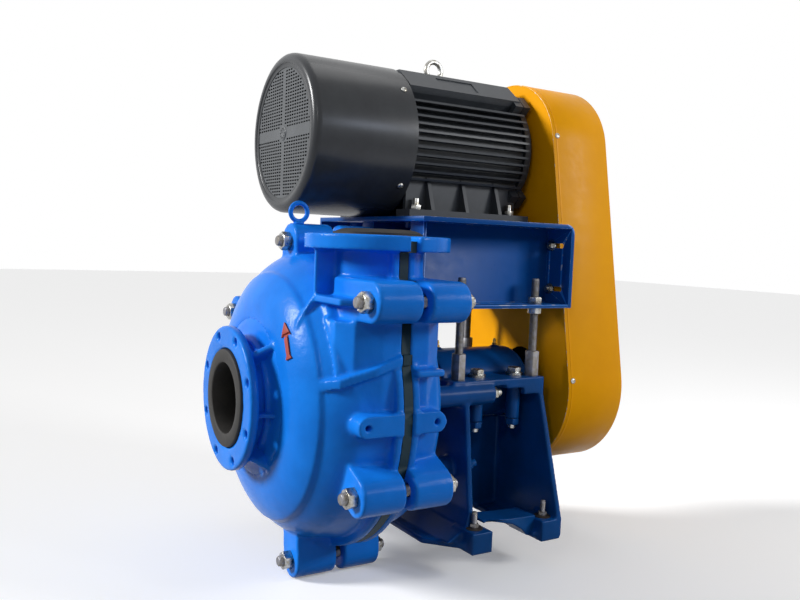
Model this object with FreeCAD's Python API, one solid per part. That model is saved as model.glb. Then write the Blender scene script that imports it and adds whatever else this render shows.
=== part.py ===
"""Horizontal slurry pump with a split lined casing and an overhead belt drive.

Every piece is drawn in pump coordinates, in millimetres: the shaft runs along Y through
X = 0, Z = 0, the casing splits on Y = 0, the suction side is -Y and the drive end +Y.
save() then moves each piece into the part's own frame, whose origin lies on the underside
of the feet, at the centre of the four foot bolts.
"""
import FreeCAD, Part
import math
import os

V = FreeCAD.Vector
AXIS_Y = V(0, 1, 0)
AXIS_Z = V(0, 0, 1)

# ---- driving dimensions ----------------------------------------------------------------
fit = 0.3                  # gap between neighbours that only sit in or on each other
running = 0.05             # radial gap of a running fit

# foundation and base frame
shaft_height = 338.0       # shaft axis above the underside of the feet
foot_spacing_x = 424.0     # foot bolts, across the shaft
foot_spacing_y = 200.0     # foot bolts, along the shaft
foot_bolt_y = 362.5        # centre of the foot bolts behind the casing split
foot_hole_r = 11.0
foot_reach = 34.0          # foot, outward from its bolt
foot_inset = 44.0          # and inward
foot_length = 56.0
foot_height = 48.0
deck_half_x = 160.0
deck_top = 33.0            # top of the side rails above the shaft axis
deck_front_y = 226.0
rail_depth = 40.0
wall_t = 14.0
front_wall_y = 253.0
lip_front_y = 165.0        # how far the foot plate reaches under the casing
lip_half_x = 145.0
plate_rise = 6.0           # cast foot plates clear the foundation by this much
plate_t = 14.0

# casing
flange_d = 305.0           # suction flange
flange_t = 18.0
flange_pcd = 269.0
flange_hole_r = 8.5
flange_holes = 8
flange_face_y = -249.0
liner_lip_r = 103.5        # rubber ring that seals on the suction flange
liner_lip_proud = 4.0
throatbush_y = -172.0      # where the suction ring meets the throatbush
suction_bore_r = 75.0
neck_r = 119.0
split_half = 10.0          # each casing half stops this far from the split plane
rim_r = 338.0
rim_t = 16.0
side_r = 318.0
corner_r = 300.0
step_r = 266.0             # turned step on the front dome
step_y = -147.0
step_drop = 9.0
dome_inner_r = 164.0
dome_inner_y = -192.0
dome_pocket_y = -170.0
cavity_r = 300.0           # space for the liners inside the casing halves
cavity_front_y = -131.0
cavity_rear_y = 100.0
back_y = 120.0             # rear face of the frame plate
back_face_r = 250.0
box_bore_r = 112.0         # hole in the frame plate for the stuffing box
bolt_r = 12.0              # casing studs
nut_af = 36.0
nut_t = 19.0
lug_r = 40.0
lug_front_y = -105.0
lug_rear_y = 99.0
# angle from +X and distance from the shaft of each stud, then the direction its web runs back from
lug_places = [(93.4, 335.6, 93.4), (156.8, 380.8, 156.8), (213.9, 365.3, 213.9), (276.0, 363.0, 276.0),
              (336.2, 349.7, 336.2), (33.1, 421.4, 0.0)]
lug_web = 150.0
eye_lug = 0                # the stud lug that carries the eye bolt
rib_t = 9.0

# discharge branch
discharge_x = 190.0
discharge_r = 149.0
discharge_t = 30.0
discharge_face_z = 354.0
discharge_neck_r = 95.0
discharge_bore_r = 51.0
discharge_hole_r = 8.5
discharge_holes = 8
discharge_pcd = 240.0
shelf_z = 228.0
liner_wall = 22.0
duct_floor_z = 125.0       # the branch bore opens out of the spiral here, clear of the impeller
discharge_lip_r = 92.0     # rubber lip that seals on the discharge flange
discharge_lip_t = 10.0
discharge_lip_seat = 4.0    # how deep the lip is let into the flange

# wet end
impeller_r = 182.0
impeller_half = 52.0
shroud_t = 13.0
vane_count = 5
vane_t = 15.0
chamber_r = 232.0
chamber_half = 76.0
throat_r = 150.0
hub_r = 44.0
front_gap = 3.0
rear_gap = 4.0

# shaft line
shaft_r = 32.0             # under the sleeve
sleeve_r = 42.0
bearing_seat_r = 40.0
drive_end_r = 35.0
shaft_front_y = -30.0
shaft_end_y = 714.0
box_front_y = 100.0
box_rear_y = 178.0
packing_r = 57.0
box_r = 84.0
gland_t = 14.0
gland_y = 188.0

# bearing housing
housing_r = 87.0
housing_front_y = 250.0
housing_rear_y = 497.0
bearing_r = 70.0
bearing_w = 40.0
cover_r = 80.0
cover_t = 16.0
ledge_half_x = 98.0
ledge_t = 14.0
clamp_x = 112.0
clamp_ys = (326.0, 438.0)
clamp_bolt_r = 10.0
clamp_boss_r = 17.0
clamp_boss_bottom = -73.0
washer_r = 21.0
washer_t = 6.0
stud_boss_r = 25.0
stud_boss_x = 150.0
stud_boss_end_y = 340.0
low_boss_x = 118.0
low_boss_z = -172.0
low_boss_end_y = 300.0
frame_stud_r = 9.0

# motor platform on its four jacking rods
rod_x = 135.0
rod_ys = (255.0, 472.0)
rod_r = 10.0
rod_top_z = 268.0
rod_nut_af = 30.0
rod_nut_t = 16.0
coupling_top_z = 94.0
platform_top_z = 400.0
platform_near_x = 177.0
platform_far_x = -332.0    # the plate runs further out on the side that carries the motor
platform_front_y = 118.0
platform_rear_y = 551.0
platform_bottom_z = 200.0
platform_plate_t = 10.0
platform_web_x = 94.0
platform_web_t = 8.0
outrigger_bottom_z = 300.0
end_slot_x = 125.0
end_slot_length = 52.0
end_slot_r = 6.0
end_slot_zs = (349.0, 243.0)

# motor, set over to the side so that its cowl clears the discharge pipe
motor_x = -136.0
motor_drop = 0.5           # the fan cowl just clears the platform
foot_bolt_reach = 139.5    # foot bolts each side of the motor shaft
motor_bolt_ys = (206.0, 485.0)
motor_foot_inner = 114.0
motor_foot_outer = 175.0
motor_foot_t = 20.0
motor_foot_front_y = 167.0
motor_foot_rear_y = 519.0
motor_foot_hole_r = 7.4
frame_r = 150.0
frame_wall = 10.0          # motor frame
fin_reach = 172.0
fin_count = 11
fin_pitch = 18.2
fin_t = 5.0
clamp_lug_angles = (45.0, 135.0, 225.0, 315.0)    # screw lugs that hold the drive end shield
clamp_lug_r = 180.0
clamp_lug_half = 20.0
clamp_lug_depth = 24.0
frame_front_y = 170.0
frame_rear_y = 515.0
motor_face_y = 606.0
motor_shaft_r = 24.0
motor_shaft_end_y = 714.0
cowl_r = 182.5
cowl_wall = 2.5
cowl_front_y = -82.0
cowl_rear_y = 179.0
cowl_edge = 17.0
cowl_border = 26.5         # plain rim round the grille
pad_rise = 21.0            # flat top of the motor frame above its barrel

# belt drive
groove_count = 4
groove_pitch = 19.0
groove_depth = 14.0
groove_angle = 18.0        # each wall from square
belt_top_w = 16.3
belt_depth = 12.0
belt_gap = 0.35            # belt to groove wall
pulley_centre_y = 660.0
pump_pulley_r = 126.0
motor_pulley_r = 67.0

# belt guard
guard_front_y = 551.0
guard_depth = 180.0
guard_sheet = 2.0
guard_low = (-20.0, -10.0, 205.0)     # X, Z and radius of the lower end
guard_high_r = 181.0       # upper end, set off from the motor shaft
guard_lean = 39.0
guard_rise = 5.0
guard_bolt_x = 110.0

# ---- worked out from them --------------------------------------------------------------
flange_back_y = flange_face_y + flange_t
shoulder_r = side_r - 18.0
foot_half_x = foot_spacing_x / 2 + foot_reach
foot_inner_x = foot_spacing_x / 2 - foot_inset
stator_r = frame_r - frame_wall
motor_height = cowl_r + motor_drop    # motor shaft above the platform
motor_z = platform_top_z + motor_height
pad_top = frame_r + pad_rise
grille_outer_r = cowl_r - cowl_border
guard_high = (motor_x + guard_lean, motor_z + guard_rise, guard_high_r)
foot_bolt_xs = (motor_x - foot_bolt_reach, motor_x + foot_bolt_reach)
deck_rear_y = foot_bolt_y + foot_spacing_y / 2 + foot_length / 2 + 3.0
rear_wall_y = deck_rear_y - wall_t
rail_inner_x = ledge_half_x + 2.0
feet_z = -shaft_height
foot_ys = (foot_bolt_y - foot_spacing_y / 2, foot_bolt_y + foot_spacing_y / 2)
foot_xs = (-foot_spacing_x / 2, foot_spacing_x / 2)
pulley_half = groove_count * groove_pitch / 2 + 3.0
shift = V(0, -foot_bolt_y, shaft_height)


# ---- helpers ---------------------------------------------------------------------------
def box(x0, x1, y0, y1, z0, z1):
    return Part.makeBox(x1 - x0, y1 - y0, z1 - z0, V(x0, y0, z0))


def rod_y(radius, y0, y1, x=0.0, z=0.0):
    return Part.makeCylinder(radius, y1 - y0, V(x, y0, z), AXIS_Y)


def rod_z(radius, z0, z1, x=0.0, y=0.0):
    return Part.makeCylinder(radius, z1 - z0, V(x, y, z0), AXIS_Z)


def rod_x_along(radius, x0, x1, y=0.0, z=0.0):
    return Part.makeCylinder(radius, x1 - x0, V(x0, y, z), V(1, 0, 0))


def ring_y(outer, inner, y0, y1, x=0.0, z=0.0):
    return rod_y(outer, y0, y1, x, z).cut(rod_y(inner, y0 - 1, y1 + 1, x, z))


def join(shapes):
    first = shapes[0]
    return first.fuse(shapes[1:]).removeSplitter() if len(shapes) > 1 else first


def loose(shapes):
    return Part.makeCompound(shapes)


def turned(outline, angle=360.0, start=0.0):
    """Turn (radius, y) points about the shaft; a point with three items is the middle of an arc."""
    edges = []
    last = outline[0]
    bend = None
    for point in outline[1:] + outline[:1]:
        if len(point) == 3:
            bend = V(point[0], point[1], 0)
            continue
        tip = V(point[0], point[1], 0)
        tail = V(last[0], last[1], 0)
        if bend is None:
            edges.append(Part.makeLine(tail, tip))
        else:
            edges.append(Part.Arc(tail, bend, tip).toShape())
        bend = None
        last = point
    face = Part.Face(Part.Wire(edges))
    face.rotate(V(0, 0, 0), AXIS_Y, -start)
    return face.revolve(V(0, 0, 0), AXIS_Y, -angle)


def slab(points, plane, low, high):
    """Straight-sided plate: points lie in plane "xy", "xz" or "yz", from low to high on the other axis."""
    place = {"xy": lambda a, b: V(a, b, low),
             "xz": lambda a, b: V(a, low, b),
             "yz": lambda a, b: V(low, a, b)}
    reach = {"xy": V(0, 0, high - low), "xz": V(0, high - low, 0), "yz": V(high - low, 0, 0)}
    corners = [place[plane](a, b) for a, b in points]
    return Part.Face(Part.makePolygon(corners + corners[:1])).extrude(reach[plane])


def hex_prism(across_flats, base, direction, height, hole_r=0.0):
    """Hexagon nut or head from its base centre along direction."""
    corner = across_flats / math.sqrt(3)
    turns = [math.radians(60 * i + 30) for i in range(7)]
    points = [V(corner * math.cos(turn), corner * math.sin(turn), 0) for turn in turns]
    nut = Part.Face(Part.makePolygon(points)).extrude(V(0, 0, height))
    chamfer = corner - across_flats / 2
    tip = Part.makeCone(corner, corner - 1.2 * chamfer, 0.7 * chamfer, V(0, 0, height - 0.7 * chamfer))
    nut = nut.common(join([rod_z(corner, 0, height - 0.7 * chamfer), tip]))
    if hole_r:
        nut = nut.cut(rod_z(hole_r, -1, height + 1))
    nut.Placement = FreeCAD.Placement(base, FreeCAD.Rotation(AXIS_Z, direction))
    return nut


def polar(angle, radius):
    turn = math.radians(angle)
    return radius * math.cos(turn), radius * math.sin(turn)


def hull_face(low, high, y, shrink=0.0):
    """Face bounded by two circles (x, z, radius) and their outer tangents, in the plane y."""
    x0, z0, r0 = low[0], low[1], low[2] - shrink
    x1, z1, r1 = high[0], high[1], high[2] - shrink
    lean = math.atan2(z1 - z0, x1 - x0)
    spread = math.acos((r0 - r1) / math.hypot(x1 - x0, z1 - z0))
    right, left = lean - spread, lean + spread

    def at(x, z, r, a):
        return V(x + r * math.cos(a), y, z + r * math.sin(a))

    top = Part.Arc(at(x1, z1, r1, right), at(x1, z1, r1, lean), at(x1, z1, r1, left)).toShape()
    bottom = Part.Arc(at(x0, z0, r0, left), at(x0, z0, r0, lean + math.pi), at(x0, z0, r0, right)).toShape()
    near = Part.makeLine(at(x0, z0, r0, right), at(x1, z1, r1, right))
    far = Part.makeLine(at(x1, z1, r1, left), at(x0, z0, r0, left))
    return Part.Face(Part.Wire([near, top, far, bottom]))


def save(name, shape):
    shape = shape.copy()
    shape.translate(shift)
    shape.exportStep("parts/%s.step" % name)


def ring_of_holes(count, pcd, radius, y0, y1, start=0.0):
    holes = []
    for i in range(count):
        x, z = polar(start + 360.0 * i / count, pcd / 2)
        holes.append(rod_y(radius, y0, y1, x, z))
    return holes


lug_centres = [polar(place[0], place[1]) for place in lug_places]


# ---- casing halves ---------------------------------------------------------------------
def lugs(y0, y1):
    """Stud lugs: a round boss on each stud, with a web back to the casing."""
    made = []
    for (angle, radius, web_angle), (x, z) in zip(lug_places, lug_centres):
        boss = rod_y(lug_r, y0, y1, x, z)
        web = box(-lug_web, 0.0, y0, y1, -lug_r, lug_r)
        web.rotate(V(0, 0, 0), AXIS_Y, -web_angle)
        web.translate(V(x, 0, z))
        made += [boss, web]
    return made


def stud_holes(y0, y1):
    return [rod_y(bolt_r + 1.0, y0, y1, x, z) for x, z in lug_centres]


def liner_space(front):
    """Inside of a casing half: the liner's outer shape."""
    if front:
        turned_part = turned([(0, flange_face_y - 5), (liner_lip_r + 1, flange_face_y - 5),
                              (liner_lip_r + 1, cavity_front_y - 20), (cavity_r - 60, cavity_front_y),
                              (cavity_r - 17, cavity_front_y + 22, 1), (cavity_r, cavity_front_y + 60),
                              (cavity_r, 0), (0, 0)])
    else:
        turned_part = turned([(0, 0), (cavity_r, 0), (cavity_r, cavity_rear_y - 50),
                              (cavity_r - 15, cavity_rear_y - 15, 1), (cavity_r - 50, cavity_rear_y),
                              (0, cavity_rear_y)])
    duct = rod_z(discharge_bore_r + liner_wall, 0, discharge_face_z + 5, discharge_x)
    lip = rod_z(discharge_lip_r, discharge_face_z - discharge_lip_seat, discharge_face_z + 5, discharge_x)
    half = box(-500, 500, -400, 0, -500, 500) if front else box(-500, 500, 0, 400, -500, 500)
    return join([turned_part, join([duct, lip]).common(half)])


def discharge_branch(front):
    """Half of the upright branch, its flange and the throat block that it grows from."""
    near, far = (-discharge_r - 5, -split_half) if front else (split_half, discharge_r + 5)
    window = box(discharge_x - 200, discharge_x + 200, near, far, 0, discharge_face_z + 1)
    flange = rod_z(discharge_r, discharge_face_z - discharge_t, discharge_face_z, discharge_x)
    neck = rod_z(discharge_neck_r, 40.0, discharge_face_z, discharge_x)
    holes = []
    for i in range(discharge_holes):
        x, y = polar(22.5 + 360.0 * i / discharge_holes, discharge_pcd / 2)
        holes.append(rod_z(discharge_hole_r, discharge_face_z - discharge_t - 1, discharge_face_z + 1,
                           discharge_x + x, y))
    return join([flange.cut(loose(holes)), neck]).common(window)


def ear(y0, y1, round_at):
    """Flat ear on the side of a casing half, with a round end and a cross hole."""
    outer_x = side_r + 24.0
    bar = box(side_r - 40.0, outer_x, min(y0, y1), max(y0, y1), ear_z - ear_half, ear_z + ear_half)
    tip = rod_x_along(ear_half, side_r - 40.0, outer_x, round_at, ear_z)
    return join([bar, tip])


def ear_hole(round_at):
    return rod_x_along(ear_hole_r, side_r - 6.0, side_r + 25.0, round_at, ear_z)


ear_z = -6.0
ear_half = 22.0
ear_hole_r = 6.5
ear_front_y = -90.0
ear_rear_y = 64.0


def neck_ribs():
    """Ribs between the back of the suction flange and the dome, with a collar at the dome."""
    made = [ring_y(neck_r + 9.0, neck_r - 5.0, dome_pocket_y - 26.0, dome_pocket_y + 2.0)]
    for angle, tip_r, foot_r, thick in neck_rib_places:
        plate = slab([(neck_r - 5, flange_back_y - 1), (tip_r, flange_back_y - 1),
                      (foot_r, dome_inner_y + 2),
                      (foot_r, dome_pocket_y - 2), (neck_r - 5, dome_pocket_y - 2)], "xy", -thick / 2,
                     thick / 2)
        plate.rotate(V(0, 0, 0), AXIS_Y, -angle)
        made.append(plate)
    return made


# angle, radius at the flange, radius at the dome, thickness
neck_rib_places = [(47.0, 141.0, 176.0, 13.0), (-6.0, 136.0, 150.0, 9.0), (-50.0, 143.0, 176.0, 13.0),
                   (133.0, 141.0, 176.0, 13.0), (186.0, 136.0, 150.0, 9.0), (230.0, 143.0, 176.0, 13.0)]


def make_cover_plate():
    shell = turned([(50, flange_face_y), (flange_d / 2, flange_face_y), (flange_d / 2, flange_back_y),
                    (neck_r, flange_back_y), (neck_r, dome_pocket_y), (dome_inner_r, dome_pocket_y),
                    (dome_inner_r, dome_inner_y), (221, -181, 1), (step_r, step_y - step_drop),
                    (step_r + 3, step_y), (corner_r - 10, step_y + 22, 1), (corner_r + 9, step_y + 54),
                    (side_r, -split_half - rim_t), (rim_r, -split_half - rim_t), (rim_r, -split_half),
                    (50, -split_half)])
    throat = turned([(200, -145), (236, -153), (shoulder_r, -122), (side_r + 6, -60),
                     (side_r + 6, -split_half), (200, -split_half)], 32.0, 17.0)
    ridges = [turned([(243, -148), (247, -164), (254, -163), (263, -145)], 31.0, 17.5),
              turned([(shoulder_r - 15, -118), (shoulder_r - 10, -132), (shoulder_r - 3, -129),
                      (shoulder_r + 4, -112)], 23.0, 17.5)]
    belt = slab([(215, -172), (240, -166), (shoulder_r, -131), (side_r + 9, -66), (side_r + 9, -split_half),
                 (215, -split_half)], "xy", 30.0, 160.0)
    belt = belt.common(slab([(-172, 46), (-split_half, 107), (-split_half, 127), (-172, 66)], "yz", 200.0,
                            side_r + 20.0))
    tower = slab([(160, -120), (262, -128), (shoulder_r, -104), (side_r, -50), (side_r, -split_half),
                  (150, -split_half)], "xy", 0.0, shelf_z - 40.0)
    rib_x = discharge_x - 2.0
    front_rib = slab([(-80, discharge_face_z - discharge_t + 1), (-139, discharge_face_z - discharge_t + 1),
                      (-139, shelf_z), (-80, shelf_z)], "yz", rib_x - rib_t / 2, rib_x + rib_t / 2)
    shelf = slab([(rib_x, -139), (side_r - 18, -139), (lug_centres[5][0] - lug_r + 6, lug_front_y),
                  (lug_centres[5][0] - lug_r + 6, -split_half), (rib_x, -split_half)], "xy", shelf_z - 9.0,
                 shelf_z + 5.0)
    brace = slab([(rib_x - rib_t / 2, shelf_z + 5), (rib_x + rib_t / 2, shelf_z + 5), (178, 158),
                  (162, 158)],
                 "xz", -175, -60)
    brace = brace.common(slab([(-139, shelf_z + 5), (-60, shelf_z + 5), (-60, 150), (-175, 150),
                               (-169, 178)],
                              "yz", 150, 200))
    side_rib = box(discharge_x, discharge_x + discharge_neck_r + 14, -split_half - rim_t, -split_half, 40.0,
                   discharge_face_z)
    body = join([shell] + lugs(lug_front_y, -split_half) + [throat, belt, tower, front_rib, shelf, brace,
                                                           side_rib, discharge_branch(True),
                                                           ear(ear_front_y, -split_half, ear_front_y)]
                + ridges + neck_ribs())
    body = body.cut(liner_space(True))
    body = body.cut(loose(stud_holes(lug_front_y - 1, 0) + ring_of_holes(
        flange_holes, flange_pcd, flange_hole_r, flange_face_y - 1, flange_back_y + 1, 22.5)))
    return body.cut(loose([eye_seat(eye_x, eye_y, eye_seat_z, eye_shank_r), ear_hole(ear_front_y)]))


def make_frame_plate():
    shell = turned([(50, split_half), (rim_r, split_half), (rim_r, split_half + rim_t),
                    (side_r, split_half + rim_t), (corner_r + 8, 84), (corner_r - 12, 106, 1),
                    (back_face_r, back_y), (50, back_y)])
    throat = turned([(200, split_half), (side_r + 6, split_half), (side_r + 6, 62), (300, 98), (240, 112),
                     (200, 112)], 32.0, 17.0)
    tower = slab([(150, split_half), (side_r, split_half), (side_r, 50), (290, 92), (150, 104)], "xy", 0.0,
                 shelf_z - 40.0)
    shelf = box(discharge_x, side_r + 30.0, split_half, 74.0, 84.0, 98.0)
    side_rib = box(discharge_x, discharge_x + discharge_neck_r + 14, split_half, split_half + rim_t, 40.0,
                   discharge_face_z)
    body = join([shell] + lugs(split_half, lug_rear_y) + [throat, tower, shelf, side_rib,
                                                         discharge_branch(False),
                                                         ear(split_half, ear_rear_y, ear_rear_y)])
    body = body.cut(liner_space(False))
    body = body.cut(rod_y(box_bore_r, 0, back_y + 1))
    body = body.cut(loose(stud_holes(0, lug_rear_y + 1) + [ear_hole(ear_rear_y)]))
    return body.cut(loose([rod_y(frame_stud_r, back_y - 14, back_y + 1, x, z)
                           for x, z, end in frame_bosses]))


frame_bosses = [(side * stud_boss_x, 0.0, stud_boss_end_y) for side in (-1, 1)]
frame_bosses += [(side * low_boss_x, low_boss_z, low_boss_end_y) for side in (-1, 1)]

eye_x, eye_z = lug_centres[eye_lug]
eye_y = -83.0
eye_seat_z = eye_z + lug_r - 2.0
eye_shank_r = 6.0
eye_ring_r = 20.0
eye_wire_r = 5.2


def eye_seat(x, y, seat_z, shank_r):
    """Tapped hole and spot face for an eye bolt."""
    return join([rod_z(shank_r + fit, seat_z - 21.0, seat_z + 1.0, x, y),
                 rod_z(shank_r * 2.0 + 1.0, seat_z, seat_z + 40.0, x, y)])


def eye_bolt(x, y, seat_z, shank_r, ring_r, wire_r, facing):
    shank = rod_z(shank_r, seat_z - 19.0, seat_z + 2.0, x, y)
    collar = rod_z(shank_r * 2.0, seat_z, seat_z + 5.0, x, y)
    ring = Part.makeTorus(ring_r, wire_r, V(x, y, seat_z + 4.0 + ring_r + wire_r * 0.5), facing)
    return join([shank, collar, ring])


# ---- liners, bushes and the seal -------------------------------------------------------
def flow_chamber():
    """Pumped volume: spiral chamber, branch bore and suction bore."""
    chamber = turned([(0, -chamber_half + 22), (chamber_r - 60, -chamber_half + 4),
                      (chamber_r - 14, -chamber_half + 26, 1), (chamber_r, 0),
                      (chamber_r - 14, chamber_half - 26, 1), (chamber_r - 60, chamber_half - 4),
                      (0, chamber_half - 22)])
    duct = rod_z(discharge_bore_r, duct_floor_z, discharge_face_z + 20, discharge_x)
    return join([chamber, duct])


def make_liner(front):
    y0, y1 = (-400, -fit / 2) if front else (fit / 2, 400)
    lip_edge = discharge_face_z + discharge_lip_t * 0.5
    seal = join([rod_z(discharge_lip_r, discharge_face_z, lip_edge, discharge_x),
                 Part.makeCone(discharge_lip_r, discharge_bore_r + 6.0, discharge_lip_t * 0.5,
                               V(discharge_x, 0, lip_edge))])
    space = join([liner_space(front).common(box(-500, 500, -500, 500, -500, discharge_face_z)), seal])
    space = space.common(box(-500, 500, y0, y1, -500, 500))
    core = flow_chamber()
    if front:
        core = core.fuse(rod_y(throat_r + fit, flange_face_y - 10, 0))
        lip = ring_y(liner_lip_r, suction_bore_r, flange_face_y - liner_lip_proud, throatbush_y)
        shoulder = box(-500, 500, -400, cavity_front_y - 19, -500, 500)
        space = space.cut(shoulder)
        return space.cut(core), lip
    core = core.fuse(rod_y(throat_r + fit, 0, 400))
    return space.cut(core), None


def make_throatbush():
    start = throatbush_y + fit
    return turned([(suction_bore_r, start), (liner_lip_r, start), (liner_lip_r, cavity_front_y - 20),
                   (throat_r, cavity_front_y - 7), (throat_r, -impeller_half - front_gap),
                   (suction_bore_r, -impeller_half - front_gap)])


def make_back_liner():
    return turned([(box_r - 10, impeller_half + rear_gap), (throat_r, impeller_half + rear_gap),
                   (throat_r, cavity_rear_y - fit), (box_r - 10, cavity_rear_y - fit)])


def make_stuffing_box():
    outer = turned([(sleeve_r + 1.0, box_front_y), (box_bore_r - fit, box_front_y),
                    (box_bore_r - fit, back_y), (box_flange_r, back_y), (box_flange_r, back_y + 12),
                    (box_r, back_y + 14), (box_r, box_rear_y), (packing_r, box_rear_y),
                    (packing_r, box_front_y + 22), (sleeve_r + 1.0, box_front_y + 22)])
    port = rod_z(water_port_r, packing_r - 5, box_r + 5, 0, lantern_y)
    port.rotate(V(0, 0, 0), AXIS_Y, 90.0 - water_port_angle)
    return outer.cut(port)


box_flange_r = stud_boss_x - stud_boss_r - 2.0
water_port_r = 6.0
water_port_angle = 150.0   # from +X: upwards on the side away from the discharge


lantern_y = box_front_y + 42.0
lantern_w = 16.0
packing_front = box_front_y + 22.0 + fit


def make_packing():
    ring_w = (gland_y - 10.0 - fit - (lantern_y + lantern_w / 2 + fit)) / 3
    rings = [ring_y(packing_r - fit, sleeve_r + fit, packing_front, lantern_y - lantern_w / 2 - fit)]
    start = lantern_y + lantern_w / 2 + fit
    for i in range(3):
        low_y = start + i * ring_w
        rings.append(ring_y(packing_r - fit, sleeve_r + fit, low_y, low_y + ring_w - fit))
    return loose(rings)


def make_lantern_ring():
    ring = ring_y(packing_r - fit, sleeve_r + 1.0, lantern_y - lantern_w / 2, lantern_y + lantern_w / 2)
    return ring.cut(ring_y(packing_r, packing_r - 4.0, lantern_y - 4, lantern_y + 4))


def make_gland():
    nose = ring_y(packing_r - fit, sleeve_r + 1.0, gland_y - 10.0, gland_y + 1.0)
    plate = join([ring_y(packing_r + 12, sleeve_r + 1.0, gland_y, gland_y + gland_t),
                  box(-gland_bolt_x - 16, gland_bolt_x + 16, gland_y, gland_y + gland_t, -17, 17).cut(
                      rod_y(packing_r, gland_y - 1, gland_y + gland_t + 1))])
    holes = [rod_y(gland_bolt_r + 0.5, gland_y - 1, gland_y + gland_t + 1, side * gland_bolt_x)
             for side in (-1, 1)]
    return join([nose, plate]).cut(loose(holes))


gland_bolt_x = packing_r + 14.0
gland_bolt_r = 6.0


gland_travel = 10.0


def make_gland_studs():
    return loose([rod_y(gland_bolt_r, box_rear_y, gland_y + gland_t + gland_nut_t + gland_travel + 4.0,
                        side * gland_bolt_x) for side in (-1, 1)])


gland_nut_t = 10.0


def make_gland_nuts():
    return loose([hex_prism(19.0, V(side * gland_bolt_x, gland_y + gland_t + 0.02, 0), AXIS_Y, gland_nut_t,
                            gland_bolt_r + running) for side in (-1, 1)])


# ---- impeller and shaft ----------------------------------------------------------------
def vane(turn):
    """Backward-curved blade between the shrouds, an arc of constant thickness."""
    sweep_r = 118.0
    x, z = polar(turn, 100.0)
    ring = Part.makeCylinder(sweep_r, 2 * impeller_half - shroud_t, V(x, -impeller_half + shroud_t / 2, z),
                             AXIS_Y)
    ring = ring.cut(Part.makeCylinder(sweep_r - vane_t, 2 * impeller_half, V(x, -impeller_half, z), AXIS_Y))
    zone = ring_y(impeller_r - 1.0, 62.0, -impeller_half, impeller_half)
    side = box(-400, 400, -200, 200, 0, 400)
    side.rotate(V(0, 0, 0), AXIS_Y, -turn)
    return ring.common(zone).common(side)


def make_impeller():
    back = turned([(shaft_r - 8.0, impeller_half - shroud_t), (impeller_r, impeller_half - shroud_t),
                   (impeller_r, impeller_half), (shaft_r - 8.0, impeller_half)])
    front = ring_y(impeller_r, suction_bore_r + 2.0, -impeller_half, -impeller_half + shroud_t)
    hub = turned([(shaft_r - 8.0, impeller_half + impeller_hub_back),
                  (hub_r, impeller_half + impeller_hub_back),
                  (hub_r, 0), (hub_r * math.sqrt(0.5), -hub_r * math.sqrt(0.5), 1), (0, -hub_r),
                  (0, shaft_front_y - fit),
                  (shaft_r - 8.0, shaft_front_y - fit)])
    wheel = join([join([hub, back]), front])
    for i in range(vane_count):
        wheel = wheel.fuse(vane(360.0 * i / vane_count))
    return wheel.removeSplitter()


def make_shaft():
    thread_r = shaft_r - 8.0 - running
    shaft = turned([(0, shaft_front_y), (thread_r, shaft_front_y), (thread_r, sleeve_front_y),
                    (shaft_r, sleeve_front_y), (shaft_r, sleeve_rear_y), (bearing_seat_r + 6, sleeve_rear_y),
                    (bearing_seat_r + 6, front_bearing_y), (bearing_seat_r, front_bearing_y),
                    (bearing_seat_r, front_bearing_y + bearing_w),
                    (bearing_seat_r + 8, front_bearing_y + bearing_w),
                    (bearing_seat_r + 8, rear_bearing_y), (bearing_seat_r, rear_bearing_y),
                    (bearing_seat_r, housing_rear_y + cover_t + 8),
                    (drive_end_r, housing_rear_y + cover_t + 8),
                    (drive_end_r, shaft_end_y - 2), (drive_end_r - 2, shaft_end_y), (0, shaft_end_y)])
    return shaft.cut(key_slot(drive_end_r, 0.0, pulley_centre_y - key_half, pulley_centre_y + key_half))


impeller_hub_back = 30.0
sleeve_front_y = impeller_half + impeller_hub_back + fit
sleeve_rear_y = 234.0
front_bearing_y = housing_front_y + 16.0
rear_bearing_y = housing_rear_y - 16.0 - bearing_w
key_half = 32.0
key_w = 18.0
key_h = 7.0


def key_slot(shaft_radius, z, y0, y1, grow=0.0):
    return box(-key_w / 2 - grow, key_w / 2 + grow, y0, y1, z + shaft_radius - key_h,
               z + shaft_radius + key_h * 0.6 + grow)


def make_key(shaft_radius, z, y0, y1):
    return box(-key_w / 2 + 0.05, key_w / 2 - 0.05, y0 + fit, y1 - fit, z + shaft_radius - key_h + 0.05,
               z + shaft_radius + key_h * 0.6)


def make_sleeve():
    return ring_y(sleeve_r, shaft_r + 0.03, sleeve_front_y, sleeve_rear_y - fit)


def make_bearing(y0, inner, outer, x=0.0, z=0.0):
    """Roller bearing in outline: inner ring, outer ring and a row of rollers between them."""
    wall = (outer - inner) * 0.28
    y1 = y0 + bearing_w
    middle = (inner + outer) / 2
    inner_ring = ring_y(inner + wall, inner, y0, y1, x, z)
    outer_ring = ring_y(outer, outer - wall, y0, y1, x, z)
    web = ring_y(outer - wall, inner + wall, y0 + 8, y1 - 8, x, z)
    return join([inner_ring, web, outer_ring]) if middle > inner else inner_ring


# ---- bearing housing -------------------------------------------------------------------
def make_housing():
    barrel = turned([(bearing_r, housing_front_y), (housing_r, housing_front_y), (housing_r, housing_rear_y),
                     (bearing_r, housing_rear_y), (bearing_r, housing_rear_y - 60),
                     (bearing_r - 6, housing_rear_y - 60), (bearing_r - 6, housing_front_y + 60),
                     (bearing_r, housing_front_y + 60)])
    ledges = [box(min(side * 60, side * ledge_half_x), max(side * 60, side * ledge_half_x),
                  housing_front_y + 20, housing_rear_y - 20, deck_top - ledge_t, deck_top)
              for side in (-1, 1)]
    inside = rod_y(bearing_r + 2, housing_front_y + 10, housing_rear_y - 10)
    bosses = [rod_z(9.0, housing_r - 4, housing_r + 4, 0, y) for y in nipple_ys]
    return join([barrel] + [ledge.cut(inside) for ledge in ledges] + bosses)


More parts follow.
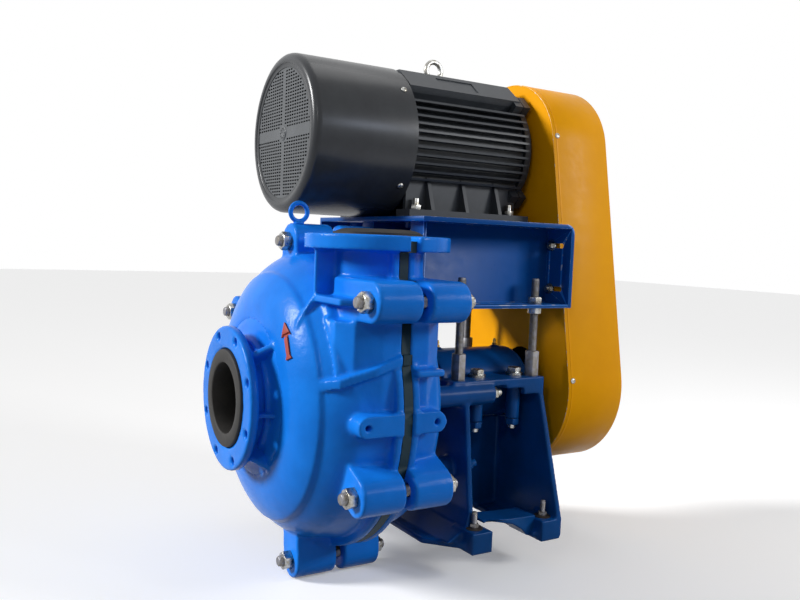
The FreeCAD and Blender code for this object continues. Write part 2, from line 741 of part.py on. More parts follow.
nipple_ys = (housing_front_y + 36.0, housing_rear_y - 36.0)


def make_nipples():
    made = []
    for y in nipple_ys:
        stem = rod_z(3.2, housing_r + 4.0 + fit, housing_r + 15.0, 0, y)
        head = Part.makeCone(5.0, 2.6, 8.0, V(0, y, housing_r + 13.0))
        base = hex_prism(11.0, V(0, y, housing_r + 4.0 + fit), AXIS_Z, 5.0)
        made.append(join([stem, head, base]))
    return loose(made)


def make_end_cover(face_y, outward):
    """Flanged bearing cover with a register inside the housing; outward is -1 at the wet end."""
    def at(distance):
        return face_y + outward * distance

    points = [(bearing_seat_r + 7.0 if outward < 0 else bearing_seat_r + 1.0, at(cover_t)),
              (cover_r - 6, at(cover_t)), (cover_r, at(cover_t - 6)), (cover_r, at(0)),
              (bearing_r - fit, at(0)),
              (bearing_r - fit, at(-15.5)), (bearing_r - 14, at(-15.5)), (bearing_r - 14, at(2)),
              (bearing_seat_r + 7.0 if outward < 0 else bearing_seat_r + 1.0, at(2))]
    cover = turned(points)
    return cover


def make_cover_bolts():
    made = []
    for face_y, outward in ((housing_front_y, -1), (housing_rear_y, 1)):
        for i in range(6):
            x, z = polar(30.0 + 60.0 * i, cover_r - 9.0)
            made.append(hex_prism(13.0, V(x, face_y + outward * (cover_t + fit / 3), z), V(0, outward, 0),
                                  6.0))
    return loose(made)


# ---- base frame ------------------------------------------------------------------------
def make_base():
    rail_top = deck_top
    rails = []
    for side in (-1, 1):
        x0, x1 = sorted((side * rail_inner_x, side * deck_half_x))
        rails.append(box(x0, x1, deck_front_y, deck_rear_y, rail_top - rail_depth * 0.6, rail_top))
        e0, e1 = sorted((side * (deck_half_x - 16), side * deck_half_x))
        rails.append(box(e0, e1, deck_rear_y - 60, deck_rear_y, rail_top - rail_depth, rail_top))
        for y in clamp_ys:
            rails.append(rod_z(clamp_boss_r, clamp_boss_bottom, rail_top - 1, side * clamp_x, y))
    plate_z = feet_z + plate_rise
    front_top_x = deck_half_x + 10
    front_foot_x = foot_half_x - 34
    front = slab([(-front_foot_x, plate_z), (front_foot_x, plate_z), (front_top_x, rail_top - rail_depth),
                  (deck_half_x, rail_top), (-deck_half_x, rail_top), (-front_top_x, rail_top - rail_depth)],
                 "xz", front_wall_y, front_wall_y + wall_t)
    rear = slab([(-foot_half_x, plate_z), (foot_half_x, plate_z), (foot_half_x, feet_z + foot_height),
                 (deck_half_x, rail_top - rail_depth), (deck_half_x, rail_top), (-deck_half_x, rail_top),
                 (-deck_half_x, rail_top - rail_depth), (-foot_half_x, feet_z + foot_height)],
                "xz", rear_wall_y, deck_rear_y)
    foot_front_y = foot_ys[0] - foot_length / 2
    front_plate = slab([(-lip_half_x, lip_front_y), (lip_half_x, lip_front_y),
                        (foot_half_x - 29, foot_front_y - 5),
                        (foot_half_x - 29, foot_ys[0] + foot_length / 2),
                        (-foot_half_x + 29, foot_ys[0] + foot_length / 2),
                        (-foot_half_x + 29, foot_front_y - 5)],
                       "xy", plate_z, plate_z + plate_t)
    scoop = slab([(front_wall_y - 62, plate_z + plate_t - 1), (front_wall_y + 1, plate_z + plate_t - 1),
                  (front_wall_y + 1, plate_z + plate_t + 70), (front_wall_y - 10, plate_z + plate_t + 28)],
                 "yz", -front_foot_x + 6, front_foot_x - 6)
    rear_plate = slab([(-foot_half_x + 16, foot_ys[1] - 40), (foot_half_x - 16, foot_ys[1] - 40),
                       (foot_half_x - 16, deck_rear_y), (-foot_half_x + 16, deck_rear_y)],
                      "xy", plate_z, plate_z + plate_t)
    web = slab([(front_wall_y, plate_z), (foot_ys[0] + 30, plate_z), (foot_ys[0] + 60, plate_z + 30),
                (foot_ys[1] - 60, plate_z + 30), (foot_ys[1] - 40, plate_z), (deck_rear_y, plate_z),
                (deck_rear_y, -housing_r - 4), (front_wall_y, -housing_r - 4)], "yz", -wall_t / 2,
               wall_t / 2)
    feet = []
    for side in (-1, 1):
        for y in foot_ys:
            x0, x1 = sorted((side * foot_inner_x, side * foot_half_x))
            feet.append(box(x0, x1, y - foot_length / 2, y + foot_length / 2, feet_z, feet_z + foot_height))
    bosses = [rod_y(stud_boss_r, back_y, end, x, z) for x, z, end in frame_bosses]
    low_ribs = [slab([(front_wall_y + wall_t - 1, low_boss_z + 12), (low_boss_end_y, low_boss_z + 12),
                      (low_boss_end_y, low_boss_z - 12), (front_wall_y + wall_t - 1, low_boss_z - 60)], "yz",
                     min(x - 7, x + 7), max(x - 7, x + 7)) for x, z, end in frame_bosses[2:]]
    cradle = [box(-rail_inner_x - 2, rail_inner_x + 2, y, y + wall_t, -housing_r - 30, 0)
              for y in (front_wall_y, rear_wall_y)]
    body = join(rails + [front, rear, front_plate, scoop, rear_plate, web] + feet + bosses + low_ribs +
                cradle)
    body = body.cut(rod_y(housing_r + fit, 200, deck_rear_y + 1))
    body = body.cut(box(-ledge_half_x - 1, ledge_half_x + 1, housing_front_y - 4, deck_rear_y + 1,
                        deck_top - ledge_t - fit, deck_top + 1))
    body = body.cut(box(-70, 70, housing_front_y - 30, deck_rear_y + 1, 0, deck_top + 1))
    holes = [rod_y(frame_stud_r + 0.5, back_y - 1, end + 1, x, z) for x, z, end in frame_bosses]
    holes += [rod_y(stud_boss_r - 5.0, end, end + 40.0, x, z) for x, z, end in frame_bosses]
    holes += [rod_z(clamp_bolt_r + 0.5, clamp_boss_bottom - 1, rail_top + 1, side * clamp_x, y)
              for side in (-1, 1) for y in clamp_ys]
    holes += [rod_z(rod_r + 0.1, rail_top - rail_depth * 0.6 - 1, rail_top + 1, side * rod_x, y)
              for side in (-1, 1) for y in rod_ys]
    holes += [rod_z(foot_hole_r, feet_z - 1, feet_z + foot_height + 1, x, y) for x in foot_xs
              for y in foot_ys]
    return body.cut(loose(holes))


def make_frame_studs():
    made = []
    for x, z, end in frame_bosses:
        made.append(rod_y(frame_stud_r - 0.1, back_y - 13.0, end + 26.0, x, z))
        made.append(hex_prism(27.0, V(x, end + fit / 3, z), AXIS_Y, 14.0, frame_stud_r))
    return loose(made)


def make_clamp_bolts():
    made = []
    for side in (-1, 1):
        for y in clamp_ys:
            top = deck_top + washer_t
            x = side * clamp_x
            shank = rod_z(clamp_bolt_r, clamp_boss_bottom - 24, top + 1, x, y)
            head = hex_prism(rod_nut_af, V(x, y, top + 0.05), AXIS_Z, 13.0)
            made.append(join([shank, head]))
            made.append(hex_prism(rod_nut_af, V(x, y, clamp_boss_bottom - 0.1), V(0, 0, -1), 15.0,
                                  clamp_bolt_r + 0.05))
    return loose(made)


def make_clamp_washers():
    return loose([rod_z(washer_r, deck_top + 0.02, deck_top + washer_t, side * clamp_x, y).cut(
        rod_z(clamp_bolt_r + 0.5, deck_top - 1, deck_top + washer_t + 1, side * clamp_x, y))
        for side in (-1, 1) for y in clamp_ys])


def make_rods():
    bottom = deck_top - rail_depth * 0.6
    return loose([rod_z(rod_r, bottom, rod_top_z, side * rod_x, y) for side in (-1, 1) for y in rod_ys])


def make_coupling_nuts():
    return loose([hex_prism(rod_nut_af, V(side * rod_x, y, deck_top), AXIS_Z, coupling_top_z - deck_top,
                            rod_r + 0.05) for side in (-1, 1) for y in rod_ys])


# ---- motor platform --------------------------------------------------------------------
flange_top_z = platform_bottom_z + 8.0


plate_under_z = platform_top_z - platform_plate_t
end_plate_y = platform_rear_y - platform_plate_t
web_front_y = platform_front_y + 24.0
edge_bottom_z = plate_under_z - 34.0


def make_platform():
    """Top plate bent down at the drive end, the outrigger's end plate and the far edge flange."""
    top_z, under, inner_y = platform_top_z, plate_under_z, end_plate_y
    pieces = [box(platform_far_x, platform_near_x, platform_front_y, platform_rear_y, under, top_z),
              box(-platform_near_x, platform_near_x, inner_y, platform_rear_y, platform_bottom_z, under + 1),
              slab([(platform_far_x, under + 1), (platform_far_x, edge_bottom_z),
                    (-platform_near_x - 30, outrigger_bottom_z), (-platform_web_x, outrigger_bottom_z),
                    (-platform_web_x, under + 1)], "xz", inner_y, platform_rear_y),
              box(platform_far_x, platform_far_x + platform_web_t, platform_front_y, platform_rear_y,
                  edge_bottom_z, under + 1)]
    pieces += [rod_z(24.0, under - 12, under + 1, x, y) for x in foot_bolt_xs for y in motor_bolt_ys]
    body = join(pieces)
    bend = 24.0
    corner = box(platform_far_x - 1, platform_near_x + 1, platform_rear_y - bend, platform_rear_y + 1,
                 top_z - bend, top_z + 1).cut(rod_x_along(bend, platform_far_x - 1, platform_near_x + 1,
                                                          platform_rear_y - bend, top_z - bend))
    body = body.cut(corner)
    slots = []
    y0, y1 = inner_y - 1, platform_rear_y + 1
    straight = end_slot_length / 2 - end_slot_r
    for side in (-1, 1):
        for z in end_slot_zs:
            x = side * end_slot_x
            slots.append(join([box(x - straight, x + straight, y0, y1, z - end_slot_r, z + end_slot_r),
                               rod_y(end_slot_r, y0, y1, x - straight, z),
                               rod_y(end_slot_r, y0, y1, x + straight, z)]))
    holes = [rod_z(motor_foot_hole_r, under - 20, top_z + 1, x, y) for x in foot_bolt_xs
             for y in motor_bolt_ys]
    return body.cut(loose(slots + holes))


def make_channel(side):
    """Channel welded under the top plate: web, flange and stiffener; the far one also has gussets."""
    w0, w1 = sorted((side * (platform_web_x - platform_web_t), side * platform_web_x))
    f0, f1 = sorted((side * (platform_web_x - platform_web_t), side * platform_near_x))
    s0, s1 = sorted((side * (platform_web_x - 2), side * (platform_web_x + 46)))
    pieces = [box(w0, w1, web_front_y, end_plate_y, platform_bottom_z, plate_under_z),
              box(f0, f1, web_front_y, end_plate_y, platform_bottom_z, flange_top_z),
              box(s0, s1, web_front_y, web_front_y + 8, platform_bottom_z + 4, plate_under_z)]
    if side < 0:
        edge_x = platform_far_x + platform_web_t
        pieces += [slab([(edge_x, plate_under_z), (edge_x, edge_bottom_z), (-platform_near_x - 30,
                                                                        outrigger_bottom_z),
                         (-platform_web_x + 2, outrigger_bottom_z), (-platform_web_x + 2, plate_under_z)],
                        "xz", y + 25, y + 33) for y in motor_bolt_ys]
    holes = [rod_z(rod_r + 1.5, platform_bottom_z - 1, flange_top_z + 1, side * rod_x, y) for y in rod_ys]
    return join(pieces).cut(loose(holes))


def make_platform_nuts():
    made = []
    for side in (-1, 1):
        for y in rod_ys:
            made.append(hex_prism(rod_nut_af, V(side * rod_x, y, flange_top_z), AXIS_Z, rod_nut_t,
                                  rod_r + 0.1))
            made.append(hex_prism(rod_nut_af, V(side * rod_x, y, platform_bottom_z), V(0, 0, -1), rod_nut_t,
                                  rod_r + 0.1))
    return loose(made)


# ---- motor -----------------------------------------------------------------------------
pad_top_half = 76.0
pad_side = 131.0
pad_side_z = 127.0
motor_eye_y = 330.0
motor_eye_shank_r = 8.0
motor_bearing_r = 60.0
motor_bearing_w = 29.0
motor_seat_r = 27.5
rotor_r = 93.0
core_bore_r = 33.0
core_ys = (235.0, 450.0)


def at_motor(shape):
    """Move something turned about the pump shaft onto the motor shaft."""
    shape.translate(V(motor_x, 0, motor_z))
    return shape


def clamp_lugs(y0, y1):
    made = []
    for angle in clamp_lug_angles:
        lug = box(frame_r - 10.0, clamp_lug_r, y0, y1, -clamp_lug_half, clamp_lug_half)
        lug.rotate(V(0, 0, 0), AXIS_Y, -angle)
        made.append(lug)
    return made


def make_motor_frame():
    barrel = rod_y(frame_r, frame_front_y, frame_rear_y)
    pad = slab([(-pad_top_half, pad_top), (pad_top_half, pad_top), (pad_side, pad_side_z),
                (pad_side - 9, pad_side_z - 14), (76, 70), (-76, 70), (-pad_side + 9, pad_side_z - 14),
                (-pad_side, pad_side_z)], "xz", frame_front_y + 13, frame_rear_y - 3)
    envelope = rod_y(fin_reach, frame_front_y, frame_rear_y)
    fins = []
    for i in range(fin_count):
        fin_z = (i - (fin_count - 1) / 2) * fin_pitch
        fins.append(box(-fin_reach, fin_reach, frame_front_y, frame_rear_y, fin_z - fin_t / 2,
                        fin_z + fin_t / 2).common(envelope))
    low = -motor_height
    feet = []
    for side in (-1, 1):
        x0, x1 = sorted((side * motor_foot_inner, side * motor_foot_outer))
        feet.append(box(x0, x1, motor_foot_front_y, motor_foot_rear_y, low, low + motor_foot_t))
        w0, w1 = sorted((side * motor_foot_inner, side * (motor_foot_inner + 12)))
        feet.append(box(w0, w1, cowl_rear_y + 6, motor_foot_rear_y - 8, low, -82))
        for y in (cowl_rear_y + 60, cowl_rear_y + 160, motor_foot_rear_y - 80):
            feet.append(slab([(side * (motor_foot_inner + 4), low + 4),
                              (side * (motor_foot_outer - 12), low + 4),
                              (side * (motor_foot_inner + 16), -84), (side * (motor_foot_inner + 4), -84)],
                             "xz", y, y + 10))
    body = join([barrel, pad] + fins + feet + clamp_lugs(frame_rear_y - clamp_lug_depth, frame_rear_y))
    body = body.cut(rod_y(stator_r, frame_front_y - 1, frame_rear_y + 1))
    slope = (pad_top - pad_side_z) / (pad_side - pad_top_half)
    recess = slab([(pad_top_half + 10, pad_top - 10 * slope - 3),
                   (pad_side - 10, pad_side_z + 10 * slope - 3),
                   (pad_side + 10, pad_side_z + 40), (pad_top_half + 30, pad_top + 20)], "xz", 279, 388)
    holes = [rod_z(motor_foot_hole_r, low - 1, low + motor_foot_t + 1, side * foot_bolt_reach, y)
             for side in (-1, 1) for y in motor_bolt_ys]
    body = body.cut(loose(holes)).cut(recess)
    return at_motor(body.cut(eye_seat(0, motor_eye_y, pad_top - 1.0, motor_eye_shank_r)))


def make_drive_shield():
    nose_r = motor_bearing_r + 22.0
    rim = frame_rear_y + 27.0
    shield = turned([(motor_bearing_r, frame_rear_y - 20), (stator_r - fit, frame_rear_y - 20),
                     (stator_r - fit, frame_rear_y), (frame_r + 8, frame_rear_y), (frame_r + 8, rim - 10),
                     (frame_r - 2, rim), (nose_r + 6, rim + 4), (nose_r, rim + 10),
                     (nose_r - 4, motor_face_y - 10),
                     (nose_r - 10, motor_face_y), (motor_shaft_r + 2, motor_face_y),
                     (motor_shaft_r + 2, motor_face_y - 9), (motor_bearing_r, motor_face_y - 9)])
    lugs_y = frame_rear_y + 2.5
    return at_motor(join([shield] + clamp_lugs(lugs_y, lugs_y + clamp_lug_depth - 4.0)))


def make_fan_shield():
    front = frame_front_y - 34.0
    shield = turned([(motor_seat_r + 1.5, front), (72, front), (86, front + 18), (frame_r - 2, front + 24),
                     (frame_r - 2, frame_front_y), (stator_r - fit, frame_front_y),
                     (stator_r - fit, frame_front_y + 14), (70, frame_front_y + 14), (70, frame_front_y + 4),
                     (motor_bearing_r, frame_front_y + 4), (motor_bearing_r, front + 8),
                     (motor_seat_r + 1.5, front + 8)])
    return at_motor(shield)


def make_stator():
    core = ring_y(stator_r - 0.1, rotor_r + 1.0, core_ys[0], core_ys[1])
    ends = [ring_y(stator_r - 12, rotor_r + 6, core_ys[0] - 32, core_ys[0]),
            ring_y(stator_r - 12, rotor_r + 6, core_ys[1], core_ys[1] + 32)]
    return at_motor(join([core] + ends))


def make_rotor_core():
    core = ring_y(rotor_r, core_bore_r + 0.02, core_ys[0], core_ys[1])
    rings = [ring_y(rotor_r - 5, rotor_r - 23, core_ys[0] - 10, core_ys[0]),
             ring_y(rotor_r - 5, rotor_r - 23, core_ys[1], core_ys[1] + 10)]
    return at_motor(join([core] + rings))


motor_bearing_ys = (frame_front_y - 26.0 + fit, motor_face_y - 9.0 - fit - motor_bearing_w)


def make_motor_shaft():
    front_y, rear_y = motor_bearing_ys
    shaft = turned([(0, front_y - 4), (motor_seat_r, front_y - 4), (motor_seat_r, front_y + motor_bearing_w),
                    (core_bore_r, front_y + motor_bearing_w), (core_bore_r, rear_y), (motor_seat_r, rear_y),
                    (motor_seat_r, motor_face_y - 9 - fit), (motor_shaft_r, motor_face_y - 9 - fit),
                    (motor_shaft_r, motor_shaft_end_y - 2), (motor_shaft_r - 2, motor_shaft_end_y),
                    (0, motor_shaft_end_y)])
    return at_motor(shaft)


def make_motor_bearings():
    made = []
    for y0 in motor_bearing_ys:
        y1 = y0 + motor_bearing_w
        inner = ring_y(motor_seat_r + 9, motor_seat_r + running, y0, y1)
        outer = ring_y(motor_bearing_r - fit / 2, motor_bearing_r - 9, y0, y1)
        balls = ring_y(motor_bearing_r - 9, motor_seat_r + 9, y0 + 8, y1 - 8)
        made.append(at_motor(join([inner, balls, outer])))
    return loose(made)


grille_inner_r = 26.0
grille_bar = 13.0


def make_cowl():
    """Deep fan cowl: drawn shell with a rounded front edge and a spoked front opening."""
    front, edge, wall = cowl_front_y, cowl_edge, cowl_wall
    bend = edge * (1 - math.sqrt(0.5))
    inner_bend = wall + (edge - wall) * (1 - math.sqrt(0.5))
    shell = turned([(8, front), (cowl_r - edge, front), (cowl_r - bend, front + bend, 1),
                    (cowl_r, front + edge),
                    (cowl_r, cowl_rear_y), (cowl_r - wall, cowl_rear_y), (cowl_r - wall, front + edge),
                    (cowl_r - inner_bend, front + inner_bend, 1), (cowl_r - edge, front + wall),
                    (8, front + wall)])
    opening = ring_y(grille_outer_r, grille_inner_r, front - 1, front + wall + 1)
    bars = [box(-grille_bar / 2, grille_bar / 2, front - 2, front + 6, -cowl_r, cowl_r),
            box(-cowl_r, cowl_r, front - 2, front + 6, -grille_bar / 2, grille_bar / 2)]
    return at_motor(shell.cut(opening.cut(loose(bars))))


def make_grille():
    """Perforated sheet behind the cowl's front opening."""
    y0 = cowl_front_y + cowl_wall + 0.1
    sheet = rod_y(grille_outer_r + 6, y0, y0 + 1.5)
    pitch = 28.0
    slot = 9.0
    count = int(grille_outer_r // pitch) + 1
    holes = []
    for i in range(-count, count):
        for k in range(-count, count):
            x, z = (i + 0.5) * pitch, (k + 0.5) * pitch
            if grille_inner_r + slot < math.hypot(x, z) < grille_outer_r - slot - 4:
                holes.append(box(x - slot, x + slot, y0 - 1, y0 + 3, z - slot, z + slot))
    return at_motor(sheet.cut(loose(holes)))


fan_y = 66.0
fan_hub_half = 16.0
spindle_r = 9.0
fan_motor_rear_y = fan_y - fan_hub_half - 6.0


def make_fan_motor():
    rear = fan_motor_rear_y
    arms = []
    for i in range(3):
        arm = box(0, cowl_r - cowl_wall - 0.1, rear - 16, rear - 8, -9, 9)
        arm.rotate(V(0, 0, 0), AXIS_Y, 120.0 * i + 30.0)
        arms.append(arm)
    limit = rod_y(cowl_r - cowl_wall - fit, rear - 90, rear)
    body = join([rod_y(56.0, rear - 84, rear - 4), rod_y(64.0, rear - 12, rear)] + arms).common(limit)
    return at_motor(body.cut(rod_y(spindle_r + running, rear - 50, rear + 1)))


def make_fan():
    hub = rod_y(38.0, fan_y - fan_hub_half, fan_y + fan_hub_half)
    spindle = rod_y(spindle_r, fan_motor_rear_y - 46, fan_y)
    blades = []
    for i in range(7):
        blade = box(32, cowl_r - 24, -2, 2, -21, 21)
        blade.rotate(V(0, 0, 0), V(1, 0, 0), 34.0)
        blade.translate(V(0, fan_y, 0))
        blade.rotate(V(0, 0, 0), AXIS_Y, 360.0 * i / 7)
        blades.append(blade)
    return at_motor(join([hub, spindle] + blades))


cowl_screw_angles = (-37.0, 37.0, 143.0, 217.0)


def make_cowl_screws():
    made = []
    for angle in cowl_screw_angles:
        x, z = polar(angle, 1.0)
        base = V(x * (cowl_r + 0.05), cowl_rear_y - 22.0, z * (cowl_r + 0.05))
        made.append(at_motor(Part.makeCone(7.0, 4.5, 3.8, base, V(x, 0, z))))
    return loose(made)


def make_motor_foot_bolts():
    made = []
    top = platform_top_z + motor_foot_t
    boss = platform_top_z - platform_plate_t - 12.0
    shank_r = motor_foot_hole_r - 0.4
    for x in foot_bolt_xs:
        for y in motor_bolt_ys:
            made.append(rod_z(shank_r, boss - 18, top + 27, x, y))
            made.append(hex_prism(22.0, V(x, y, boss - 0.05), V(0, 0, -1), 12.0, shank_r + running))
            made.append(hex_prism(22.0, V(x, y, top + 0.05), AXIS_Z, 12.0, shank_r + running))
    return loose(made)


# ---- belt drive ------------------------------------------------------------------------
belt_slope = math.tan(math.radians(groove_angle))
belt_proud = 1.0           # belts stand this far out of the grooves
groove_ys = [pulley_centre_y + (i - (groove_count - 1) / 2) * groove_pitch for i in range(groove_count)]


def pulley(outer_r, bore_r):
    """Grooved pulley about the pump shaft, with a web where it is large enough for one."""
    half_top = belt_top_w / 2 - belt_proud * belt_slope + belt_gap / math.cos(math.radians(groove_angle))
    half_low = half_top - groove_depth * belt_slope
    front, rear = pulley_centre_y - pulley_half, pulley_centre_y + pulley_half
    bottom = outer_r - groove_depth
    points = [(bore_r, front), (outer_r, front)]
    for middle in groove_ys:
        points += [(outer_r, middle - half_top), (bottom, middle - half_low), (bottom, middle + half_low),
                   (outer_r, middle + half_top)]
    points += [(outer_r, rear), (bore_r, rear)]
    wheel = turned(points)
    rim_inner = bottom - 12.0
    hub_outer = bore_r + 24.0
    if rim_inner > hub_outer + 20.0:
        for y0, y1 in ((front - 1, pulley_centre_y - 8), (pulley_centre_y + 8, rear + 1)):
            wheel = wheel.cut(ring_y(rim_inner, hub_outer, y0, y1))
    return wheel


def belt_outline(y, depth):
    low = (0.0, 0.0, pump_pulley_r + belt_proud)
    high = (motor_x, motor_z, motor_pulley_r + belt_proud)
    return hull_face(low, high, y, depth)


def make_belts():
    """V-belts round both pulleys, just clear of the groove walls."""
    made = []
    over = 1.0
    for middle in groove_ys:
        half = belt_top_w / 2
        low_half = half - belt_depth * belt_slope
        stations = [(middle - half - over * belt_slope, -over), (middle - low_half, belt_depth),
                    (middle + low_half, belt_depth), (middle + half + over * belt_slope, -over)]
        inside = Part.makeLoft([belt_outline(y, depth).OuterWire for y, depth in stations], True, True)
        made.append(belt_outline(middle - half, 0.0).extrude(V(0, 2 * half, 0)).cut(inside))
    return loose(made)


# ---- belt guard ------------------------------------------------------------------------
def make_guard_panel():
    front = hull_face(guard_low, guard_high, guard_front_y + 0.05, guard_sheet + fit).extrude(
        V(0, guard_sheet, 0))
    rim = hull_face(guard_low, guard_high, guard_front_y + 0.05, guard_sheet + fit).extrude(V(0, 26, 0))
    hollow = hull_face(guard_low, guard_high, guard_front_y, 2 * guard_sheet + fit).extrude(V(0, 28, 0))
    flange = rim.cut(hollow)
    body = join([front, flange])
    slots = [join([rod_y(62.0, guard_front_y - 1, guard_front_y + 4, 0, -32.0),
                   box(-62, 62, guard_front_y - 1, guard_front_y + 4, -32, 22),
                   rod_y(62.0, guard_front_y - 1, guard_front_y + 4, 0, 22.0)]),
             rod_y(motor_bearing_r + 40.0, guard_front_y - 1, guard_front_y + 4, motor_x, motor_z)]
    slots += [rod_y(5.5, guard_front_y - 1, guard_front_y + 4, side * guard_bolt_x, z)
              for side in (-1, 1) for z in end_slot_zs]
    return body.cut(loose(slots))


def make_guard_cover():
    outer = hull_face(guard_low, guard_high, guard_front_y + 0.05).extrude(V(0, guard_depth, 0))
    inner = hull_face(guard_low, guard_high, guard_front_y - 1, guard_sheet).extrude(
        V(0, guard_depth + 1 - guard_sheet, 0))
    return outer.cut(inner)


def make_guard_bolts():
    made = []
    for side in (-1, 1):
        for z in end_slot_zs:
            x = side * guard_bolt_x
            inner_face = platform_rear_y - platform_plate_t
            shank = rod_y(5.0, inner_face - 15, guard_front_y + 11, x, z)
            washer = rod_y(13.0, inner_face - 3.0, inner_face - 0.05, x, z)
            nut = hex_prism(17.0, V(x, inner_face - 3.0, z), V(0, -1, 0), 8.0)
            head = hex_prism(17.0, V(x, guard_front_y + guard_sheet + 0.1, z), AXIS_Y, 8.0)
            made.append(join([shank, washer, nut, head]))
    return loose(made)


guard_screw_y = guard_front_y + 14.0


def make_guard_screws():
    """Button-head screws round the rim: places are (end, angle) on the two end arcs and near the flats."""
    made = []
    lean = math.degrees(math.atan2(guard_high[1] - guard_low[1], guard_high[0] - guard_low[0]))
    for (x, z, r), angles in ((guard_low, (9.0, -60.0, -120.0, -172.0)), (guard_high, (11.0, lean, 183.0))):
        for angle in angles:
            dx, dz = polar(angle, 1.0)
            base = V(x + dx * (r + 0.05), guard_screw_y, z + dz * (r + 0.05))
            made.append(Part.makeCone(7.0, 4.5, 3.8, base, V(dx, 0, dz)))
    return loose(made)


# ---- casing studs ----------------------------------------------------------------------
def make_casing_studs():
    return loose([rod_y(bolt_r, lug_front_y - nut_t - 10, lug_rear_y + nut_t + 10, x, z)
                  for x, z in lug_centres])


def make_casing_nuts():
    made = []
    for x, z in lug_centres:
        made.append(hex_prism(nut_af, V(x, lug_front_y, z), V(0, -1, 0), nut_t, bolt_r + 0.05))
        made.append(hex_prism(nut_af, V(x, lug_rear_y, z), AXIS_Y, nut_t, bolt_r + 0.05))
    return loose(made)


# ---- all pieces ------------------------------------------------------------------------
os.makedirs("parts", exist_ok=True)

cover_liner, suction_lip = make_liner(True)
frame_liner, _ = make_liner(False)

save("cover_plate", make_cover_plate())
save("frame_plate", make_frame_plate())
save("cover_liner", cover_liner)
save("suction_joint_ring", suction_lip)
save("frame_liner", frame_liner)
save("throatbush", make_throatbush())
save("back_liner", make_back_liner())
save("stuffing_box", make_stuffing_box())
save("gland_packing", make_packing())
save("lantern_ring", make_lantern_ring())
save("gland", make_gland())
save("gland_studs", make_gland_studs())
save("gland_nuts", make_gland_nuts())
save("casing_studs", make_casing_studs())
save("casing_nuts", make_casing_nuts())
save("casing_eye_bolt", eye_bolt(eye_x, eye_y, eye_seat_z, eye_shank_r, eye_ring_r, eye_wire_r, V(1, 0, 0)))
save("base_frame", make_base())
save("frame_plate_studs", make_frame_studs())
save("clamp_bolts", make_clamp_bolts())
save("clamp_washers", make_clamp_washers())
save("jack_rods", make_rods())
save("coupling_nuts", make_coupling_nuts())

save("bearing_housing", make_housing())
save("front_end_cover", make_end_cover(housing_front_y, -1))
save("rear_end_cover", make_end_cover(housing_rear_y, 1))
save("end_cover_bolts", make_cover_bolts())
save("grease_nipples", make_nipples())
save("front_bearing", make_bearing(front_bearing_y, bearing_seat_r + running, bearing_r - fit / 2))
save("rear_bearing", make_bearing(rear_bearing_y, bearing_seat_r + running, bearing_r - fit / 2))

save("pump_shaft", make_shaft())
save("shaft_sleeve", make_sleeve())
save("impeller", make_impeller())
save("pump_pulley", pulley(pump_pulley_r, drive_end_r + 0.03).cut(
    key_slot(drive_end_r, 0.0, 400, 800, 0.05)))
save("pump_key", make_key(drive_end_r, 0.0, pulley_centre_y - key_half, pulley_centre_y + key_half))

save("motor_platform", make_platform())
save("platform_near_channel", make_channel(1))
save("platform_far_channel", make_channel(-1))
save("platform_nuts", make_platform_nuts())
save("motor_frame", make_motor_frame())
save("motor_drive_shield", make_drive_shield())
save("motor_fan_shield", make_fan_shield())
save("stator_core", make_stator())
save("motor_bearings", make_motor_bearings())
save("motor_foot_bolts", make_motor_foot_bolts())
save("motor_eye_bolt", eye_bolt(motor_x, motor_eye_y, motor_z + pad_top - 1.0, motor_eye_shank_r, 22.0, 6.5,
                                V(1, 0, 0)))
save("fan_cowl", make_cowl())
save("cowl_grille", make_grille())
save("cowl_screws", make_cowl_screws())
save("fan_motor", make_fan_motor())
save("guard_panel", make_guard_panel())
save("guard_cover", make_guard_cover())
save("guard_bolts", make_guard_bolts())
save("guard_screws", make_guard_screws())

save("motor_shaft", make_motor_shaft())
save("rotor_core", make_rotor_core())
save("motor_pulley", at_motor(pulley(motor_pulley_r, motor_shaft_r + 0.03)))
save("cooling_fan", make_fan())
save("v_belts", make_belts())
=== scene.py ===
"""Slurry pump: finishes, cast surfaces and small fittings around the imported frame."""
import bmesh
import bpy
import math
from mathutils import Matrix, Vector


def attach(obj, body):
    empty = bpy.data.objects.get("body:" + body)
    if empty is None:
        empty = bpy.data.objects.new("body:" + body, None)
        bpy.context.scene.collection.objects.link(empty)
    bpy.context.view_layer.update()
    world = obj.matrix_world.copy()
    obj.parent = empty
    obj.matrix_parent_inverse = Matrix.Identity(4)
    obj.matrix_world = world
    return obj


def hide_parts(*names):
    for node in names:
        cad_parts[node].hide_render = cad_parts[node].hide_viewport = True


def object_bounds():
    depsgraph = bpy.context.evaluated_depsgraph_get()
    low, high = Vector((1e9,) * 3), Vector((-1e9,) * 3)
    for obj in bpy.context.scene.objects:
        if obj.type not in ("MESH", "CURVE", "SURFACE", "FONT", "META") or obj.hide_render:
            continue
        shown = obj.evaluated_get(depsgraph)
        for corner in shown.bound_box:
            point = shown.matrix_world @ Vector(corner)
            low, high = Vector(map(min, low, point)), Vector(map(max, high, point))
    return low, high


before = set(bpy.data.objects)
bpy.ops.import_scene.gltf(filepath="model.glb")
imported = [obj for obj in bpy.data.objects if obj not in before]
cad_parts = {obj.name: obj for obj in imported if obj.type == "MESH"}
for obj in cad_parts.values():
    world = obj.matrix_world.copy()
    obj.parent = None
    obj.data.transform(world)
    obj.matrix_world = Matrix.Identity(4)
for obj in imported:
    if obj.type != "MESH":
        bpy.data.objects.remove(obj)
cad_low, cad_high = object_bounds()
MM = 0.001

